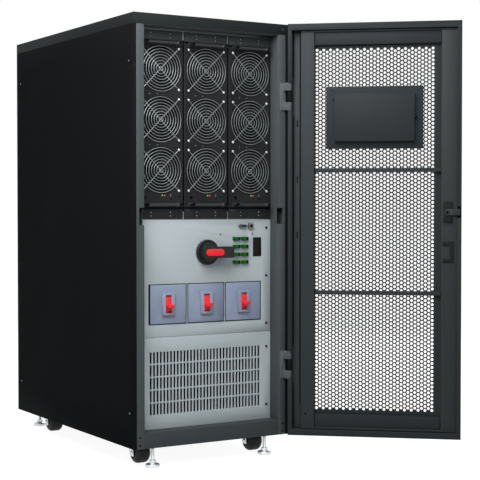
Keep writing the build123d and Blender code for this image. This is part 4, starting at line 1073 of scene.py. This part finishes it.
def hole_field(name, columns, rows, left, foot):
    """Every second column of the mesh, in six-sided tiles with a round hole in each."""
    field = bench(name)
    bpy.ops.mesh.primitive_circle_add(vertices=HOLE_SIDES, radius=HOLE_RADIUS * MM, rotation=(pi / 2, 0, 0))
    bpy.ops.mesh.extrude_edges_move()
    grow = TILE_SIDE / HOLE_RADIUS
    bpy.ops.transform.resize(value=(grow, 1.0, grow))
    reach = TILE_SIDE * MM
    tips = [Vector((cos(k * pi / 3), 0, sin(k * pi / 3))) * reach for k in range(6)]
    pick(field, "verts", lambda place, point: place.length > reach * 0.99
         and min((place - tip).length for tip in tips) > reach * 0.02)
    bpy.ops.mesh.dissolve_verts()
    bpy.ops.mesh.select_all(action="SELECT")
    bpy.ops.transform.translate(value=(left * MM, MESH_Y * MM, foot * MM))
    bpy.ops.object.mode_set(mode="OBJECT")
    for count, step in ((columns, (COLUMN_PITCH * MM, 0, 0)), (rows, (0, 0, HOLE_PITCH * MM))):
        applied(field, "ARRAY", count=count, use_relative_offset=False, use_constant_offset=True,
                constant_offset_displace=step)
    return field


def pick_open(sheet, shortest, test):
    """Selects the open edges that pass the test and have this share of a tile's side or more."""
    pick(sheet, "edges", lambda middle, edge: len(edge.link_faces) == 1
         and edge.calc_length() > TILE_SIDE * MM * shortest and test(middle))


def door_screen():
    """The door's sheet: a staggered field of whole round holes with a plain margin all round."""
    column = COLUMN_PITCH / 2
    wide = 2 * (LONG_COLUMNS - 1) * column
    tall = (HOLE_ROWS - 1) * HOLE_PITCH
    foot = MESH_MIDDLE - tall / 2
    sheet = hole_field("door_mesh_sheet", LONG_COLUMNS, HOLE_ROWS, -wide / 2, foot)
    between = hole_field(
        "short_columns", LONG_COLUMNS - 1, HOLE_ROWS - 1, column - wide / 2, foot + HOLE_PITCH / 2)
    only(sheet)
    between.select_set(True)
    bpy.ops.object.join()
    bpy.ops.object.mode_set(mode="EDIT")
    bpy.ops.mesh.select_all(action="SELECT")
    bpy.ops.mesh.remove_doubles(threshold=SHEET_MERGE)
    for side in (-1, 1):
        bound = (wide / 2 + HOLE_RADIUS) * MM
        pick_open(sheet, 0.9, lambda middle: side * middle.x > bound)
        bpy.ops.mesh.extrude_edges_move()
        bpy.ops.transform.resize(value=(0.0, 1.0, 1.0), center_override=(side * MESH_HALF_WIDTH * MM, 0, 0))
    for side in (-1, 1):
        bound = (tall / 2 - HOLE_PITCH * 0.3) * MM
        pick_open(sheet, 0.4, lambda middle: side * (middle.z - MESH_MIDDLE * MM) > bound
                  and abs(middle.x) < (MESH_HALF_WIDTH - 0.1) * MM)
        bpy.ops.mesh.extrude_edges_move()
        level = (MESH_MIDDLE + side * MESH_HALF_HEIGHT) * MM
        bpy.ops.transform.resize(value=(1.0, 1.0, 0.0), center_override=(0, 0, level))
    half_wide = (DISPLAY_HALF_WIDTH - DISPLAY_OVERLAP) * MM
    half_tall = (DISPLAY_HALF_HEIGHT - DISPLAY_OVERLAP) * MM
    pick(sheet, "faces", lambda middle, normal: abs(middle.x) < half_wide
         and abs(middle.z - DISPLAY_Z * MM) < half_tall)
    bpy.ops.mesh.delete(type="FACE")
    off_bench(sheet)
    applied(sheet, "SOLIDIFY", thickness=MESH_THICK * MM, offset=0.0)
    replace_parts(finished(hung(sheet), "door", "mesh_paint", 30.0), "door_mesh")


def door_strip(name, across, inside, runs, finish, edge=FOLD_EDGE):
    """A strip on the door's skin, in one or more runs, with its inner edges eased."""
    strip = bench(name)
    for low, high in runs:
        box_on((across[0], SKIN_INSIDE, low), (across[1], inside, high))
    pick_behind(strip, inside - 0.1)
    ease(edge)
    return finished(hung(off_bench(strip)), "door", finish)


door_screen()
RIM_RUN = (RIM_LOW, RIM_HIGH)
CROSS_FOLD = (LATCH_FOLD[1], STILE_SHADE_LINE[0])
# The seal strip is also painted shade for the dark gap at the hinge side.
door_strip("door_seal_shade", (RIM_INSIDE - SEAL_SHADE_WIDTH, RIM_INSIDE), SKIN_INSIDE + SEAL_SHADE_DEPTH, SEAL_SHADE_RUNS,
           "black_rubber_and_shade", SEAL_SHADE_EDGE)
# A black line of painted shade along the hinge stile's edge.
door_strip("stile_shade_line", STILE_SHADE_LINE, STILE_SHADE_INSIDE, [STILE_SHADE_RUN], "deep_black")
door_strip("latch_fold", LATCH_FOLD, FOLD_INSIDE, [RIM_RUN], "door_paint")
door_strip("foot_fold", CROSS_FOLD, CROSS_FOLD_INSIDE, [(RIM_LOW, FOOT_FOLD_TOP)], "door_paint")
door_strip("top_fold", CROSS_FOLD, CROSS_FOLD_INSIDE, [(TOP_FOLD_FOOT, RIM_HIGH)], "door_paint")
# The slot strip's lighter paint is painted light on the shaded flat by the rim.
door_strip("slot_strip", SLOT_STRIP, SLOT_STRIP_INSIDE, [RIM_RUN], "sill_paint", SLOT_EDGE)
door_slots = [(DOOR_SLOT_X, SLOT_STRIP_INSIDE, z) for z in DOOR_SLOT_HEIGHTS]
on_door(plaque_pattern([DOOR_SLOT], SLOT_EDGE), "door_slots", door_slots, "deep_black")
on_door(head_pattern("door_screw"), "door_dots", DOOR_DOTS, "deep_black")
on_door(head_pattern("cover_knob"), "cover_knob", [(KNOB_X, COVER_SEAT, DISPLAY_Z)], "black_plastic")
spindle = [(SPINDLE_X, TONGUE_INSIDE, LOCK_Z)]
on_door(head_pattern("lock_spindle"), "lock_spindle", spindle, "deep_black", "lock_tongue")
rib = [(TONGUE_RIB_X, TONGUE_INSIDE, LOCK_Z)]
on_door(plaque_pattern([TONGUE_RIB], TONGUE_RIB_EDGE), "tongue_rib.001", rib, "hinge_paint", "lock_tongue")
cover_screws = [(x, COVER_SEAT, DISPLAY_Z + side * DISPLAY_HALF_HEIGHT)
                for x in COVER_SCREWS_X for side in (-1, 1)]
on_door(head_pattern("door_screw"), "cover_screws", cover_screws, "door_paint")


# Camera, light and floor

def looked_at(flow, *rays):
    """1 where one of these rays meets a background, and 0 where it only lights the object."""
    mask = flow.node("ShaderNodeLightPath", output=rays[0])
    for ray in rays[1:]:
        mask = flow.maths("MAXIMUM", mask, flow.node("ShaderNodeLightPath", output=ray))
    return mask


def stage_floor():
    """A plain pale floor that keeps the shadow and shows nearly white."""
    bpy.ops.mesh.primitive_plane_add(size=FLOOR_SIZE, location=(0, 0, 0))
    floor = bpy.context.object
    floor.name = "studio_floor"
    flow, place = new_finish("studio_floor")
    tone = blended(flow, noise(flow, place, scale=3.0, detail=3.0), *FLOOR_TONES)
    ground = flow.node("ShaderNodeBsdfDiffuse", {}, {"Color": tone})
    seen = looked_at(flow, "Is Camera Ray", "Is Glossy Ray")
    glow = flow.node("ShaderNodeEmission", {}, {"Color": WHITE, "Strength": seen * FLOOR_GLOW})
    both = flow.node("ShaderNodeAddShader", {}, {0: ground, 1: glow})
    flow.node("ShaderNodeOutputMaterial", {}, {"Surface": both})
    floor.data.materials.append(FINISH["studio_floor"])


def studio_world():
    """A white background that gives only a soft light."""
    world = bpy.data.worlds.new("studio")
    bpy.context.scene.world = world
    world.use_nodes = True
    world.node_tree.nodes.clear()
    flow = Flow(world.node_tree)
    seen = looked_at(flow, "Is Camera Ray", "Is Glossy Ray", "Is Transmission Ray")
    light = flow.node("ShaderNodeBackground", {}, {
        "Color": WHITE, "Strength": seen * (1 - WORLD_LIGHT) + WORLD_LIGHT})
    flow.node("ShaderNodeOutputWorld", {}, {"Surface": light})


def lamp(name, place, target, size, power):
    """A square soft lamp that points at its target."""
    data = bpy.data.lights.new(name, "AREA")
    data.shape = "SQUARE"
    data.size = size
    data.energy = power
    piece = bpy.data.objects.new(name, data)
    bpy.context.scene.collection.objects.link(piece)
    piece.location = place
    piece.visible_camera = False
    piece.rotation_euler = (Vector(target) - Vector(place)).to_track_quat("-Z", "Y").to_euler()


def photo_camera():
    """The camera at the photograph's view."""
    data = bpy.data.cameras.new("photo_camera")
    data.lens = LENS
    data.sensor_width = SENSOR_WIDTH
    data.sensor_fit = "HORIZONTAL"
    data.clip_end = VIEW_END
    camera = bpy.data.objects.new("photo_camera", data)
    bpy.context.scene.collection.objects.link(camera)
    camera.location = CAMERA_PLACE
    camera.rotation_euler = (radians(CAMERA_TILT), 0, radians(CAMERA_TURN))
    bpy.context.scene.camera = camera


stage_floor()
studio_world()
for name, settings in LAMPS.items():
    lamp(name, **settings)
photo_camera()
bpy.context.scene.view_settings.view_transform = "Standard"
